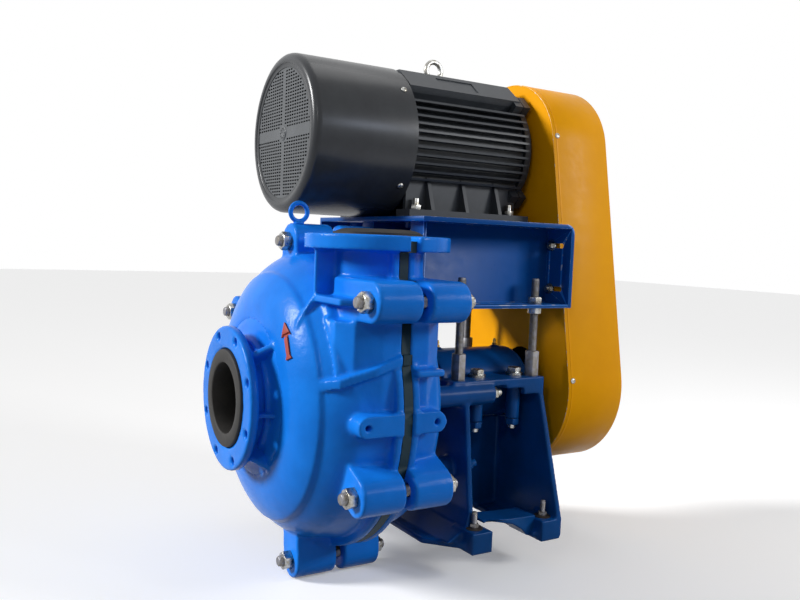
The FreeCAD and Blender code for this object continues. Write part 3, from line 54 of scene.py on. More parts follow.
# sizes in millimetres; X and Z are from the pump's shaft and Y from the casing split
shaft_height = 338.0
foot_centre_y = 362.5
split_half = 10.0                       # each casing half stops this far from the split
foot_top_z = -290.0
foot_xs, foot_ys = (-212.0, 212.0), (262.5, 462.5)
motor_x, motor_z = -136.0, 583.0
cowl_r, cowl_wall = 182.5, 2.5
cowl_face_y = -79.0
discharge_x = 190.0
guard_ends = [(-20.0, -10.0, 205.0), (-97.0, 588.0, 181.0)]     # X, Z and radius, low end first
jack_rod_x, jack_rod_ys = 135.0, (255.0, 472.0)
casing_studs = [(93.4, 335.6), (156.8, 380.8), (213.9, 365.3), (276.0, 363.0), (336.2, 349.7),
                (33.1, 421.4)]          # degrees and radius round the shaft
UP = (0, 0, 1)


# ---- materials -------------------------------------------------------------------------
def linear(hex_text):
    """An sRGB hex colour as linear red, green, blue and alpha."""
    parts = [int(hex_text[i:i + 2], 16) / 255 for i in (1, 3, 5)]
    return [p / 12.92 if p <= 0.04045 else ((p + 0.055) / 1.055) ** 2.4 for p in parts] + [1.0]


def add(tree, kind, inputs=None, **settings):
    """One node: settings are its properties, and inputs are values, or sockets to link from."""
    made = tree.nodes.new(kind)
    for name, value in settings.items():
        setattr(made, name, value)
    for name, value in (inputs or {}).items():
        if isinstance(value, bpy.types.NodeSocket):
            tree.links.new(value, made.inputs[name])
        else:
            made.inputs[name].default_value = value
    return made


def start(name, **shader_values):
    """A material with an empty Principled shader: returns the material, its tree, shader and place."""
    material = bpy.data.materials.new(name)
    material.use_nodes = True
    tree = material.node_tree
    tree.nodes.clear()
    shader = add(tree, "ShaderNodeBsdfPrincipled", shader_values)
    output = add(tree, "ShaderNodeOutputMaterial")
    tree.links.new(shader.outputs["BSDF"], output.inputs["Surface"])
    place = add(tree, "ShaderNodeTexCoord").outputs["Object"]
    return material, tree, shader, place


def noise(tree, place, size_mm, detail=2.0, roughness=0.5):
    """Noise whose blotches are about size_mm across."""
    return add(tree, "ShaderNodeTexNoise", {"Vector": place, "Scale": 1000.0 / size_mm, "Detail": detail,
                                            "Roughness": roughness}).outputs["Fac"]


def mixed(tree, factor, first, second):
    """A colour between two, by factor."""
    made = add(tree, "ShaderNodeMix", {"Factor": factor}, data_type="RGBA")
    for name, value in (("A", first), ("B", second)):
        socket = next(s for s in made.inputs if s.name == name and s.type == "RGBA")
        if isinstance(value, bpy.types.NodeSocket):
            tree.links.new(value, socket)
        else:
            socket.default_value = value
    return next(s for s in made.outputs if s.type == "RGBA")


def spread(tree, value, low, high, to_low=0.0, to_high=1.0):
    """Maps low..high onto to_low..to_high, clamped."""
    return add(tree, "ShaderNodeMapRange", {"Value": value, "From Min": low, "From Max": high,
                                            "To Min": to_low, "To Max": to_high}).outputs["Result"]


def bumped(tree, shader, height, depth_mm, base=None, strength=1.0):
    """Bump of a real depth on a shader, over an earlier bump if one is given."""
    settings = {"Height": height, "Distance": depth_mm * MM, "Strength": strength}
    if base:
        settings["Normal"] = base
    made = add(tree, "ShaderNodeBump", settings).outputs["Normal"]
    tree.links.new(made, shader.inputs["Normal"])
    return made


def cast_enamel(name, body, shade, edge, gloss=0.24, peel=1.0):
    """Two-pack enamel sprayed thick over sand-cast iron: glossy, with orange peel over the sand's grain,
    with painted shade darker in corners, and edges paler, partly wear and partly a painted highlight."""
    material, tree, shader, place = start(name, Roughness=gloss, IOR=1.5)
    shader.inputs["Specular IOR Level"].default_value = 0.09
    wide = noise(tree, place, 90.0, 3.0)
    colour = mixed(tree, spread(tree, wide, 0.35, 0.68), linear(body), linear(shade))
    ridge = add(tree, "ShaderNodeNewGeometry").outputs["Pointiness"]
    # paler along sharp edges: partly wear and partly a painted highlight
    colour = mixed(tree, spread(tree, ridge, 0.53, 0.62, 0.0, 0.3), colour, linear(edge))
    # painted shade: darker in corners and hollows, where the shade falls
    colour = mixed(tree, spread(tree, ridge, 0.48, 0.40, 0.0, 0.6), colour, linear(shade))
    tree.links.new(colour, shader.inputs["Base Color"])
    # real orange peel is 2 to 4 mm across; it is drawn at 7 mm so that it shows
    sand = noise(tree, place, 16.0, 3.0, 0.6)
    skin = bumped(tree, shader, sand, 0.5 * peel)
    bumped(tree, shader, noise(tree, place, 7.0, 1.0), 0.16 * peel, skin)
    return material


def plate_enamel(name, body, shade, gloss=0.3, peel_mm=5.0, depth_mm=0.05):
    """Enamel over rolled sheet or plate: flat and even, with a faint peel and slight dust."""
    material, tree, shader, place = start(name, Roughness=gloss, IOR=1.5)
    shader.inputs["Specular IOR Level"].default_value = 0.09
    wide = noise(tree, place, 140.0, 4.0, 0.6)
    colour = mixed(tree, spread(tree, wide, 0.3, 0.75), linear(body), linear(shade))
    tree.links.new(colour, shader.inputs["Base Color"])
    dust = spread(tree, noise(tree, place, 30.0, 5.0, 0.7), 0.3, 0.8, gloss * 0.85, gloss * 1.35)
    tree.links.new(dust, shader.inputs["Roughness"])
    bumped(tree, shader, noise(tree, place, peel_mm, 1.0), depth_mm)
    return material


def chipped_edge(name, body, chip, gloss=0.35):
    """The same enamel where it runs thin over an edge: paler, and flaked off down to bare metal."""
    material, tree, shader, place = start(name, Roughness=gloss, IOR=1.5)
    flakes = spread(tree, noise(tree, place, 30.0, 5.0, 0.7), 0.54, 0.59)
    tree.links.new(mixed(tree, flakes, linear(body), linear(chip)), shader.inputs["Base Color"])
    bumped(tree, shader, flakes, 0.15)
    return material


def motor_paint(name, body, shade, rough=0.42, grain_mm=2.6):
    """Fine-textured grey-black machine paint over die-cast aluminium and sheet."""
    material, tree, shader, place = start(name, Roughness=rough, IOR=1.5)
    shader.inputs["Specular IOR Level"].default_value = 0.3
    wide = noise(tree, place, 60.0, 4.0, 0.6)
    colour = mixed(tree, spread(tree, wide, 0.3, 0.7), linear(body), linear(shade))
    tree.links.new(colour, shader.inputs["Base Color"])
    # the real grain is under 1 mm and would not show, so it is drawn coarser
    bumped(tree, shader, noise(tree, place, grain_mm, 2.0), 0.06)
    return material


def zinc_plate(name, body, stain, smooth=0.22, dull=0.42):
    """Bright zinc plating on steel fasteners: pale metal, yellowed in patches."""
    material, tree, shader, place = start(name, Metallic=1.0, Roughness=0.3)
    patch = noise(tree, place, 12.0, 3.0, 0.6)
    colour = mixed(tree, spread(tree, patch, 0.4, 0.65), linear(body), linear(stain))
    tree.links.new(colour, shader.inputs["Base Color"])
    rough = spread(tree, noise(tree, place, 4.0, 2.0), 0.3, 0.7, smooth, dull)
    tree.links.new(rough, shader.inputs["Roughness"])
    bumped(tree, shader, noise(tree, place, 3.0, 1.0), 0.04)
    return material


def turned_steel(name, body, line_mm=1.5, rough=0.28):
    """Lathe-turned steel or iron: fine tool lines round the axis."""
    material, tree, shader, place = start(name, Metallic=1.0, Roughness=rough)
    wide = noise(tree, place, 40.0, 3.0)
    dark = [c * 0.7 for c in linear(body)[:3]] + [1.0]
    tree.links.new(mixed(tree, wide, linear(body), dark), shader.inputs["Base Color"])
    # the wave turns 20 radians to the metre at a scale of 1, so its bands lie about six times line_mm
    # apart: real tool lines are too fine to show
    lines = add(tree, "ShaderNodeTexWave", {"Vector": place, "Scale": 1000.0 / line_mm / 20,
                                            "Distortion": 0.6}, bands_direction="Y").outputs["Fac"]
    bumped(tree, shader, lines, 0.03)
    return material


def natural_rubber(name, body, bloom):
    """Moulded natural rubber: dull black with a grey bloom and faint mould ripple."""
    material, tree, shader, place = start(name, Roughness=0.62, IOR=1.52)
    shader.inputs["Specular IOR Level"].default_value = 0.25
    patch = noise(tree, place, 35.0, 4.0, 0.65)
    tree.links.new(mixed(tree, spread(tree, patch, 0.35, 0.7), linear(body), linear(bloom)),
                   shader.inputs["Base Color"])
    bumped(tree, shader, noise(tree, place, 9.0, 4.0, 0.6), 0.3)
    return material


def rough_iron(name, body, shade):
    """Bare cast iron: dark, grainy and slightly rusted."""
    material, tree, shader, place = start(name, Metallic=0.75, Roughness=0.5)
    patch = noise(tree, place, 14.0, 4.0, 0.65)
    tree.links.new(mixed(tree, spread(tree, patch, 0.35, 0.65), linear(body), linear(shade)),
                   shader.inputs["Base Color"])
    bumped(tree, shader, noise(tree, place, 5.0, 3.0, 0.6), 0.2)
    return material


casing_enamel = cast_enamel("blue_enamel_on_cast_iron", "#1780EA", "#1373D8", "#3E93F0")
# painted shade: the base castings take a darker copy of the casing's blue enamel, for the shade that the
# base sits in under the casing
painted_shade_base_enamel = cast_enamel("blue_enamel_darkened_for_painted_shade", "#0B4A8C", "#0A4078", "#2A6DB8", 0.3, 0.7)
platform_enamel = plate_enamel("blue_enamel_on_steel_plate", "#0E529E", "#0C478A")
guard_enamel = plate_enamel("amber_enamel_on_sheet_steel", "#F5A800", "#EC9E02", gloss=0.38)
cowl_paint = motor_paint("charcoal_paint_on_sheet_steel", "#34373A", "#2C2E32", 0.27)
# painted light: the grille takes a lighter copy of the cowl's charcoal paint, for the light that its front
# face catches
painted_light_grille_paint = motor_paint("charcoal_paint_lightened_for_painted_light", "#56595C", "#4C4F52", 0.42)
frame_paint = motor_paint("charcoal_paint_on_cast_aluminium", "#3C4045", "#33373C", 0.42)
zinc = zinc_plate("zinc_plate_on_steel", "#B4B5B4", "#8F8A7E")
thread_zinc = zinc_plate("dull_zinc_on_threads", "#85858A", "#77726A", 0.42, 0.58)
plate_edge = chipped_edge("blue_enamel_chipped_at_edges", "#2B7CD0", "#C9D3DE")
guard_edge = chipped_edge("amber_enamel_chipped_at_edges", "#F7B21E", "#E4DCC8")
bright_steel = turned_steel("ground_shaft_steel", "#B9BBBD")
core_steel = turned_steel("varnished_core_plate", "#6A6765", 1.0, 0.5)
grey_iron = rough_iron("bare_grey_iron", "#4A4540", "#3A3029")
white_iron = rough_iron("hard_white_iron", "#77736C", "#5C574F")
liner_rubber = natural_rubber("moulded_natural_rubber", "#201F1E", "#2D2B29")
joint_rubber = natural_rubber("green_black_joint_rubber", "#06222C", "#0A2A34")
belt_rubber = natural_rubber("belt_rubber", "#1C1B1A", "#262524")
arrow_enamel = cast_enamel("red_brown_enamel_on_cast_arrow", "#B4564C", "#9A4238", "#C87A70", 0.45, 0.6)
lantern_brass = turned_steel("cast_brass", "#B08D4C", 1.0, 0.35)
packing_cord = natural_rubber("braided_packing", "#8A7D62", "#6F634B")
fan_plastic = natural_rubber("moulded_nylon", "#1E1F20", "#27282A")

finishes = {
    casing_enamel: ["cover_plate", "frame_plate", "casing_eye_bolt"],
    painted_shade_base_enamel: ["base_frame", "bearing_housing", "rear_end_cover"],
    platform_enamel: ["motor_platform", "platform_near_channel", "platform_far_channel"],
    guard_enamel: ["guard_panel", "guard_cover"],
    cowl_paint: ["fan_cowl"],
    painted_light_grille_paint: ["cowl_grille"],
    frame_paint: ["motor_frame", "motor_drive_shield", "motor_fan_shield", "fan_motor"],
    zinc: ["casing_studs", "casing_nuts", "frame_plate_studs", "clamp_bolts", "clamp_washers",
           "coupling_nuts", "platform_nuts", "jack_rods", "gland_studs", "gland_nuts", "end_cover_bolts",
           "motor_foot_bolts", "motor_eye_bolt", "cowl_screws", "guard_screws", "guard_bolts"],
    bright_steel: ["pump_shaft", "shaft_sleeve", "pump_key", "motor_shaft", "front_bearing", "rear_bearing",
                   "motor_bearings"],
    core_steel: ["stator_core", "rotor_core"],
    grey_iron: ["stuffing_box", "gland", "front_end_cover", "pump_pulley", "motor_pulley"],
    white_iron: ["impeller"],
    liner_rubber: ["cover_liner", "frame_liner", "suction_joint_ring", "throatbush", "back_liner"],
    belt_rubber: ["v_belts"],
    lantern_brass: ["lantern_ring", "grease_nipples"],
    packing_cord: ["gland_packing"],
    fan_plastic: ["cooling_fan"],
}
for finish, names in finishes.items():
    for name in names:
        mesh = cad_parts[name].data
        mesh.materials.clear()
        mesh.materials.append(finish)


# ---- shared modelling ------------------------------------------------------------------
def point(x, y, z):
    """Pump coordinates in millimetres as a place in the frame."""
    return Vector((x, y - foot_centre_y, z + shaft_height)) * MM


def outward(degrees):
    """The direction at an angle round a Y axis, from +X towards +Z."""
    angle = math.radians(degrees)
    return Vector((math.cos(angle), 0, math.sin(angle)))


def only(piece):
    """Selects one object and makes it the active one."""
    bpy.ops.object.select_all(action="DESELECT")
    piece.select_set(True)
    bpy.context.view_layer.objects.active = piece


def modify(piece, kind, **settings):
    """Adds a modifier and applies it."""
    only(piece)
    made = piece.modifiers.new(kind.lower(), kind)
    for name, value in settings.items():
        setattr(made, name, value)
    bpy.ops.object.modifier_apply(modifier=made.name)


def edit(piece):
    """Enters edit mode on one piece with all of it selected."""
    only(piece)
    bpy.ops.object.mode_set(mode="EDIT")
    bpy.ops.mesh.select_all(action="SELECT")


def leave():
    """Leaves edit mode."""
    bpy.ops.object.mode_set(mode="OBJECT")


def added(name, operator, **settings):
    """Adds one primitive with nothing else selected."""
    bpy.ops.object.select_all(action="DESELECT")
    operator(**settings)
    piece = bpy.context.object
    piece.name = name
    return piece


def copy_of(node, name):
    """A merged copy of a CAD node's mesh as a new piece at the origin."""
    piece = bpy.data.objects.new(name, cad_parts[node].data.copy())
    bpy.context.scene.collection.objects.link(piece)
    form = bmesh.new()
    form.from_mesh(piece.data)
    bmesh.ops.remove_doubles(form, verts=form.verts, dist=0.02 * MM)
    form.to_mesh(piece.data)
    form.free()
    return piece


def done(piece, body, slot, material, *nodes):
    """Finishes a piece: its material, body and the CAD nodes that it stands for; slot is not used."""
    piece.data.materials.clear()
    piece.data.materials.append(material)
    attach(piece, body)
    if nodes:
        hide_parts(*nodes)


def broken_edges(piece, width_mm, segments=2, corner_deg=40.0):
    """Bevels the edges that are sharper than an angle."""
    modify(piece, "BEVEL", width=width_mm * MM, segments=segments, limit_method="ANGLE",
           angle_limit=math.radians(corner_deg))


def casting(node, name, body, slot, material, voxel_mm, rounds, keep):
    """A CAD node as a sand casting: its edges and inside corners are softened into fillets."""
    piece = copy_of(node, name)
    modify(piece, "REMESH", mode="VOXEL", voxel_size=voxel_mm * MM)
    modify(piece, "SMOOTH", factor=0.5, iterations=rounds)
    modify(piece, "DECIMATE", ratio=keep)
    only(piece)
    bpy.ops.object.shade_smooth()
    done(piece, body, slot, material, node)


def rounded_plate(node, name, body, slot, material, bevel_mm, corner_deg=32.0):
    """A CAD node with its sharp edges broken by a small bevel."""
    piece = copy_of(node, name)
    broken_edges(piece, bevel_mm, 2, corner_deg)
    bpy.ops.object.shade_smooth_by_angle(angle=math.radians(corner_deg))
    done(piece, body, slot, material, node)
    return piece


def applied(piece):
    """Moves a piece's place, turn and scale into its mesh."""
    only(piece)
    bpy.ops.object.transform_apply(location=True, rotation=True, scale=True)
    return piece


def placed(piece, where, along):
    """Puts a piece made on its own Z axis at a place, pointing along a direction."""
    piece.rotation_euler = Vector(along).to_track_quat("Z", "Y").to_euler()
    piece.location = where
    return applied(piece)


def closed_up(piece, smooth_deg=35.0):
    """Merges doubles, turns the faces outwards and shades the curves smooth."""
    edit(piece)
    bpy.ops.mesh.remove_doubles(threshold=0.01 * MM)
    bpy.ops.mesh.normals_make_consistent(inside=False)
    leave()
    bpy.ops.object.shade_smooth_by_angle(angle=math.radians(smooth_deg))
    return piece


def lathed(name, outline, segments=40, ring=False):
    """Turns up (radius, height) points about Z from one circle; a ring's last point joins its first."""
    radius, height = outline[0]
    piece = applied(added(name, bpy.ops.mesh.primitive_circle_add, vertices=segments, radius=radius * MM,
                          location=(0, 0, height * MM), fill_type="NOTHING" if ring else "NGON"))
    edit(piece)
    bpy.ops.mesh.select_mode(type="VERT")
    bpy.ops.mesh.select_all(action="SELECT")
    for new_radius, new_height in outline[1:] + (outline[:1] if ring else []):
        bpy.ops.mesh.extrude_region_move(
            TRANSFORM_OT_translate={"value": (0, 0, (new_height - height) * MM)})
        grow = new_radius / radius
        bpy.ops.transform.resize(value=(grow, grow, 1.0), center_override=(0, 0, new_height * MM))
        radius, height = new_radius, new_height
    leave()
    return closed_up(piece)


def joined(name, pieces):
    """Joins pieces into one object."""
    bpy.ops.object.select_all(action="DESELECT")
    for piece in pieces:
        piece.select_set(True)
    bpy.context.view_layer.objects.active = pieces[0]
    bpy.ops.object.join()
    pieces[0].name = name
    return pieces[0]


def repeated(name, pattern, places):
    """Copies of one modelled piece at (place, direction) pairs, joined; the pattern itself goes."""
    copies = []
    for where, along in places:
        again = pattern.copy()
        again.data = pattern.data.copy()
        bpy.context.scene.collection.objects.link(again)
        copies.append(placed(again, where, along))
    bpy.data.objects.remove(pattern)
    return joined(name, copies)


def pick(piece, kind, wanted):
    """In edit mode, selects only the faces or edges for which wanted(element) is true."""
    only(piece)
    bpy.ops.object.mode_set(mode="EDIT")
    bpy.ops.mesh.select_mode(type=kind)
    bpy.ops.mesh.select_all(action="DESELECT")
    leave()
    for element in piece.data.polygons if kind == "FACE" else piece.data.edges:
        element.select = wanted(element)
    bpy.ops.object.mode_set(mode="EDIT")


def delete_faces():
    """Deletes the selected faces and leaves edit mode."""
    bpy.ops.mesh.delete(type="FACE")
    leave()


def carve(piece, operation, tool):
    """A Boolean with a tool that then goes."""
    modify(piece, "BOOLEAN", object=tool, operation=operation, solver="EXACT")
    bpy.data.objects.remove(tool)


def threaded(name, radius, length, pitch, depth, chamfer=1.5):
    """A threaded rod on Z: a chamfered core with one ridge wound up it, coarser than a real thread."""
    core = radius - depth
    rod = lathed(name, [(core - chamfer, 0.0), (core, chamfer), (core, length - chamfer),
                        (core - chamfer, length)], 24)
    ridge = added("thread_ridge", bpy.ops.mesh.primitive_circle_add, vertices=4, radius=MM,
                  rotation=(math.radians(90), 0, 0))
    ridge.location = (core * MM, 0, (chamfer + pitch / 2) * MM)
    # the turned circle's own Y is the rod's Z
    ridge.scale = (depth, pitch / 2, 1.0)
    applied(ridge)
    turns = int((length - 2 * chamfer) / pitch) - 1
    modify(ridge, "SCREW", screw_offset=pitch * MM, iterations=turns, steps=18, render_steps=18,
           use_merge_vertices=False)
    closed_up(ridge, 20.0)
    return joined(name, [rod, ridge])


# ---- castings --------------------------------------------------------------------------
# the last three are the voxel in mm, the rounds of smoothing and the share of the faces kept
casting("cover_plate", "cast_cover_plate", "pump", "casing_blue", casing_enamel, 3.6, 5, 0.4)
casting("frame_plate", "cast_frame_plate", "pump", "casing_blue", casing_enamel, 3.6, 5, 0.4)
casting("base_frame", "cast_base_frame", "pump", "base_blue", painted_shade_base_enamel, 3.6, 4, 0.45)
casting("bearing_housing", "cast_bearing_housing", "cartridge", "base_blue", painted_shade_base_enamel, 3.0, 4, 0.5)
casting("casing_eye_bolt", "forged_casing_eye", "pump", "casing_blue", casing_enamel, 0.9, 4, 0.6)
casting("motor_eye_bolt", "forged_motor_eye", "platform", "zinc_steel", zinc, 1.1, 4, 0.6)
casting("gland", "cast_gland", "gland_follower", "bare_iron", grey_iron, 1.6, 3, 0.6)


def make_arrow():
    """The cast arrow that shows which way the impeller turns, painted red-brown: a shaft that flares at
    its tail, and a wide pointed head, laid on the dome."""
    tail, tip = point(184.8, -184.9, 98.7), point(150.7, -180.7, 162.5)
    half_width, shaft_share, head_share, tail_share = 5.0, 0.30, 0.42, 0.12
    head_flare, head_sweep, tail_flare = 2.9, 2.0, 1.9
    lift, clearance, thickness = 20.0, 0.1, 3.4
    length = (tip - tail).length / MM
    arrow = added("rotation_arrow", bpy.ops.mesh.primitive_plane_add, size=2.0 * MM)
    edit(arrow)
    bpy.ops.transform.resize(value=(half_width, length * shaft_share, 1.0), center_override=(0, 0, 0))
    leave()

    def pick_end(furthest):
        """Selects the edge across one end, and gives its Y."""
        reach = furthest(vertex.co.y for vertex in arrow.data.vertices)

        def at_end(edge):
            return all(abs(arrow.data.vertices[i].co.y - reach) < 0.01 * MM for i in edge.vertices)

        pick(arrow, "EDGE", at_end)
        return reach

    end_y = pick_end(max)
    bpy.ops.mesh.extrude_region_move(TRANSFORM_OT_translate={"value": (0, -head_sweep * MM, 0)})
    bpy.ops.transform.resize(value=(head_flare, 1.0, 1.0), center_override=(0, end_y, 0))
    bpy.ops.mesh.extrude_region_move(TRANSFORM_OT_translate={"value": (0, length * head_share * MM, 0)})
    bpy.ops.mesh.merge(type="CENTER")
    leave()
    end_y = pick_end(min)
    bpy.ops.mesh.extrude_region_move(TRANSFORM_OT_translate={"value": (0, -length * tail_share * MM, 0)})
    bpy.ops.transform.resize(value=(tail_flare, 1.0, 1.0), center_override=(0, end_y, 0))
    bpy.ops.mesh.select_all(action="SELECT")
    bpy.ops.mesh.subdivide(number_cuts=5)
    leave()
    ahead = (tip - tail).normalized()
    across = ahead.cross(Vector((0.35, -0.93, 0.22)).normalized()).normalized()
    off_dome = across.cross(ahead)
    turn = Matrix((across, ahead, off_dome)).transposed().to_4x4()
    arrow.matrix_world = Matrix.Translation((tail + tip) / 2 + off_dome * lift * MM) @ turn
    applied(arrow)
    shell = bpy.data.objects.get("cast_cover_plate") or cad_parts["cover_plate"]
    modify(arrow, "SHRINKWRAP", target=shell, wrap_method="NEAREST_SURFACEPOINT", wrap_mode="ABOVE_SURFACE",
           offset=clearance * MM)
    modify(arrow, "SOLIDIFY", thickness=thickness * MM, offset=1.0)
    broken_edges(arrow, 0.7)
    closed_up(arrow)
    done(arrow, "pump", "casing_blue", arrow_enamel)


def make_cowl():
    """Spun and pressed fan cowl: rolled front rim, a step, and a recessed slotted face."""
    rear_y, rim_y, inner_r = 179.0, cowl_face_y - 3.0, cowl_r - cowl_wall
    shell = lathed("spun_fan_cowl", [
        (inner_r, rear_y), (cowl_r, rear_y), (cowl_r, -64.0), (182.0, -69.0), (179.8, -74.5),
        (175.6, cowl_face_y), (170.0, -81.5), (165.0, rim_y), (161.0, rim_y), (159.4, -81.4),
        (158.4, -79.8), (157.0, cowl_face_y), (149.0, cowl_face_y), (149.0, -77.6), (158.0, -77.6),
        (165.0, -78.6), (172.0, -76.6), (177.0, -71.0), (inner_r, -62.0)], 112, ring=True)
    placed(shell, point(motor_x, 0, motor_z), (0, 1, 0))
    done(shell, "platform", "cowl_black", cowl_paint, "fan_cowl")


def make_grille():
    """The cowl's face: rows of pressed slots in four fields, with plain bars and a hub between them."""
    pitch_x, pitch_z, rib = 13.0, 7.4, 1.9
    columns, rows, sheet_t = 25, 43, 1.4
    bar_half_x, bar_half_z, hub_r, slots_r, sheet_r = 6.5, 11.0, 22.0, 146.0, 160.0
    hub_holes, hole_r, hole_ring_r = 10, 2.0, 11.0
    sheet = added("slotted_cowl_face", bpy.ops.mesh.primitive_grid_add, x_subdivisions=columns,
                  y_subdivisions=rows, size=MM, rotation=(math.radians(90), 0, 0))
    sheet.scale = (columns * pitch_x, rows * pitch_z, 1.0)
    applied(sheet)

    def from_centre(face):
        return math.hypot(face.center.x, face.center.z) / MM

    def slotted(face):
        beside_bars = abs(face.center.x) / MM > bar_half_x and abs(face.center.z) / MM > bar_half_z
        return beside_bars and hub_r < from_centre(face) < slots_r

    pick(sheet, "FACE", slotted)
    bpy.ops.mesh.inset(thickness=rib * MM, depth=0.0, use_individual=True)
    delete_faces()
    pick(sheet, "FACE", lambda face: from_centre(face) > sheet_r)
    delete_faces()
    modify(sheet, "SOLIDIFY", thickness=sheet_t * MM, offset=0.0)
    closed_up(sheet)
    sheet.location = point(motor_x, cowl_face_y + 2.2, motor_z)
    applied(sheet)
    hub = lathed("grille_hub", [(17.0, 0.0), (17.0, 0.8), (16.0, 1.4), (5.0, 1.4), (4.2, 0.9)], 48)
    drills = []
    for i in range(hub_holes):
        angle = math.tau * i / hub_holes
        drills.append(added("drill", bpy.ops.mesh.primitive_cylinder_add, vertices=10, radius=hole_r * MM,
                            depth=8 * MM, location=(hole_ring_r * MM * math.cos(angle),
                                                    hole_ring_r * MM * math.sin(angle), 0)))
    carve(hub, "DIFFERENCE", applied(joined("hub_drill", drills)))
    placed(hub, point(motor_x, cowl_face_y + 1.4, motor_z), (0, -1, 0))
    done(joined("slotted_cowl_face", [sheet, hub]), "platform", "cowl_black", painted_light_grille_paint, "cowl_grille")


def make_screws():
    """Zinc button-head screws round the cowl and the guard."""
    head = [(7.2, 0.0), (7.2, 1.0), (6.6, 2.2), (5.2, 3.3), (3.6, 3.9), (1.9, 4.1), (1.6, 2.6)]
    sunk, cowl_screw_y, guard_screw_y = 0.1, 157.0, 565.0
    cowl = [(point(motor_x, cowl_screw_y, motor_z) + outward(angle) * (cowl_r - sunk) * MM, outward(angle))
            for angle in (-37.0, 37.0, 143.0, 217.0)]
    done(repeated("cowl_screw_heads", lathed("screw", head, 20), cowl), "platform", "zinc_steel", zinc,
         "cowl_screws")
    (low_x, low_z, _), (high_x, high_z, _) = guard_ends
    lean = math.degrees(math.atan2(high_z - low_z, high_x - low_x))
    guard = [(point(x, guard_screw_y, z) + outward(angle) * (r - sunk) * MM, outward(angle))
             for (x, z, r), angles in zip(guard_ends, [(9.0, -60.0, -120.0, -172.0), (11.0, lean, 183.0)])
             for angle in angles]
    done(repeated("guard_screw_heads", lathed("screw", head, 20), guard), "platform", "zinc_steel", zinc,
         "guard_screws")


def make_rods():
    """Threaded jacking rods and casing studs."""
    rod_foot_z, stud_front_y = 9.0, -134.0
    rod = threaded("rod", radius=10.0, length=259.0, pitch=3.0, depth=1.1)
    rods = [(point(side * jack_rod_x, y, rod_foot_z), UP) for side in (-1, 1) for y in jack_rod_ys]
    done(repeated("threaded_jack_rods", rod, rods), "pump", "zinc_steel", thread_zinc, "jack_rods")
    stud = threaded("stud", radius=12.0, length=262.0, pitch=3.2, depth=1.2)
    studs = []
    for degrees, radius in casing_studs:
        angle = math.radians(degrees)
        studs.append((point(radius * math.cos(angle), stud_front_y, radius * math.sin(angle)), (0, 1, 0)))
    done(repeated("threaded_casing_studs", stud, studs), "pump", "zinc_steel", thread_zinc, "casing_studs")


def make_foot_studs():
    """Foundation studs with nuts and dark washers on the four feet."""
    stud_sunk = 4.0          # the stud starts this far down in its foot
    places = [(point(x, y, foot_top_z), UP) for x in foot_xs for y in foot_ys]
    washer = lathed("washer", [(7.0, 0.0), (20.0, 0.0), (20.0, 2.0), (17.0, 3.4), (7.0, 3.4)], 32,
                    ring=True)
    done(repeated("foot_washers", washer, places), "pump", "bare_iron", grey_iron)
    nut = lathed("nut", [(8.6, 3.0), (10.4, 3.8), (10.4, 11.0), (8.8, 11.8)], 6)
    stud = threaded("stud", radius=6.4, length=42.0, pitch=2.4, depth=0.8, chamfer=1.0)
    stud.location = (0, 0, -stud_sunk * MM)
    applied(stud)
    both = joined("foot_fixing", [nut, stud])
    done(repeated("foot_studs", both, places), "pump", "zinc_steel", thread_zinc)


def make_neck_apron():
    """The dome carried on under the suction flange to a fillet and collar on the neck."""
    apron = lathed("cast_neck_apron", [
        (168.0, 190.6), (164.0, 192.2), (150.0, 194.6), (139.0, 196.0), (133.0, 198.0), (130.0, 201.0),
        (128.6, 206.0), (126.0, 208.0), (117.0, 208.0), (117.0, 186.0), (168.0, 184.0)], 96, ring=True)
    placed(apron, point(0, 0, 0), (0, -1, 0))
    done(apron, "pump", "casing_blue", casing_enamel)


def make_joint_band():
    """Dark rubber between the casing halves, just inside their outline and clear of the bolt lugs: a
    slice of the cover's mating face, drawn out across the split and trimmed."""
    slice_t, end_gap, inset_scale = 1.0, 0.3, 0.994
    trim_r, trim_t = 336.0, 60
    neck_size, neck_z = (270, 50, 308), 190.0
    face_y = point(0, -split_half, 0).y
    band = copy_of("cover_plate", "split_joint_band")
    edit(band)
    bpy.ops.mesh.bisect(plane_co=(0, face_y - slice_t * MM, 0), plane_no=(0, 1, 0), clear_inner=True,
                        use_fill=True)
    bpy.ops.mesh.select_all(action="SELECT")
    bpy.ops.transform.resize(value=(inset_scale, (2 * split_half - 2 * end_gap) / slice_t, inset_scale),
                             center_override=(0, face_y, point(0, 0, 0).z))
    bpy.ops.transform.translate(value=(0, (2 * split_half - end_gap) * MM, 0))
    leave()
    keep = applied(added("trim_disc", bpy.ops.mesh.primitive_cylinder_add, vertices=128, radius=trim_r * MM,
                         depth=trim_t * MM, location=point(0, 0, 0), rotation=(math.radians(90), 0, 0)))
    neck = added("trim_neck", bpy.ops.mesh.primitive_cube_add, size=1.0,
                 location=point(discharge_x, 0, neck_z))
    neck.scale = [size * MM for size in neck_size]
    carve(keep, "UNION", applied(neck))
    carve(band, "INTERSECT", keep)
    closed_up(band, 40.0)
    done(band, "pump", "liner_rubber", joint_rubber)


def make_foot_bridges():
    """Cast skirts that join the front and rear feet, arched up from the floor at the front."""
    inner_x, width = 150, 66
    profile = [(286, -276), (286, -282), (300, -279), (330, -286), (372, -297), (398, -312), (414, -328),
               (438, -336), (438, -284), (362, -282)]
    for side, name in ((1, "near_foot_bridge"), (-1, "far_foot_bridge")):
        skirt = added(name, bpy.ops.mesh.primitive_circle_add, vertices=len(profile), radius=MM,
                      fill_type="NGON")
        for vertex, (y, z) in zip(skirt.data.vertices, profile):
            vertex.co = point(side * inner_x, y, z)
        edit(skirt)
        bpy.ops.mesh.extrude_region_move(TRANSFORM_OT_translate={"value": (side * width * MM, 0, 0)})
        leave()
        closed_up(skirt)
        broken_edges(skirt, 5, 3)
        bpy.ops.object.shade_smooth_by_angle(angle=math.radians(50))
        done(skirt, "pump", "base_blue", painted_shade_base_enamel)


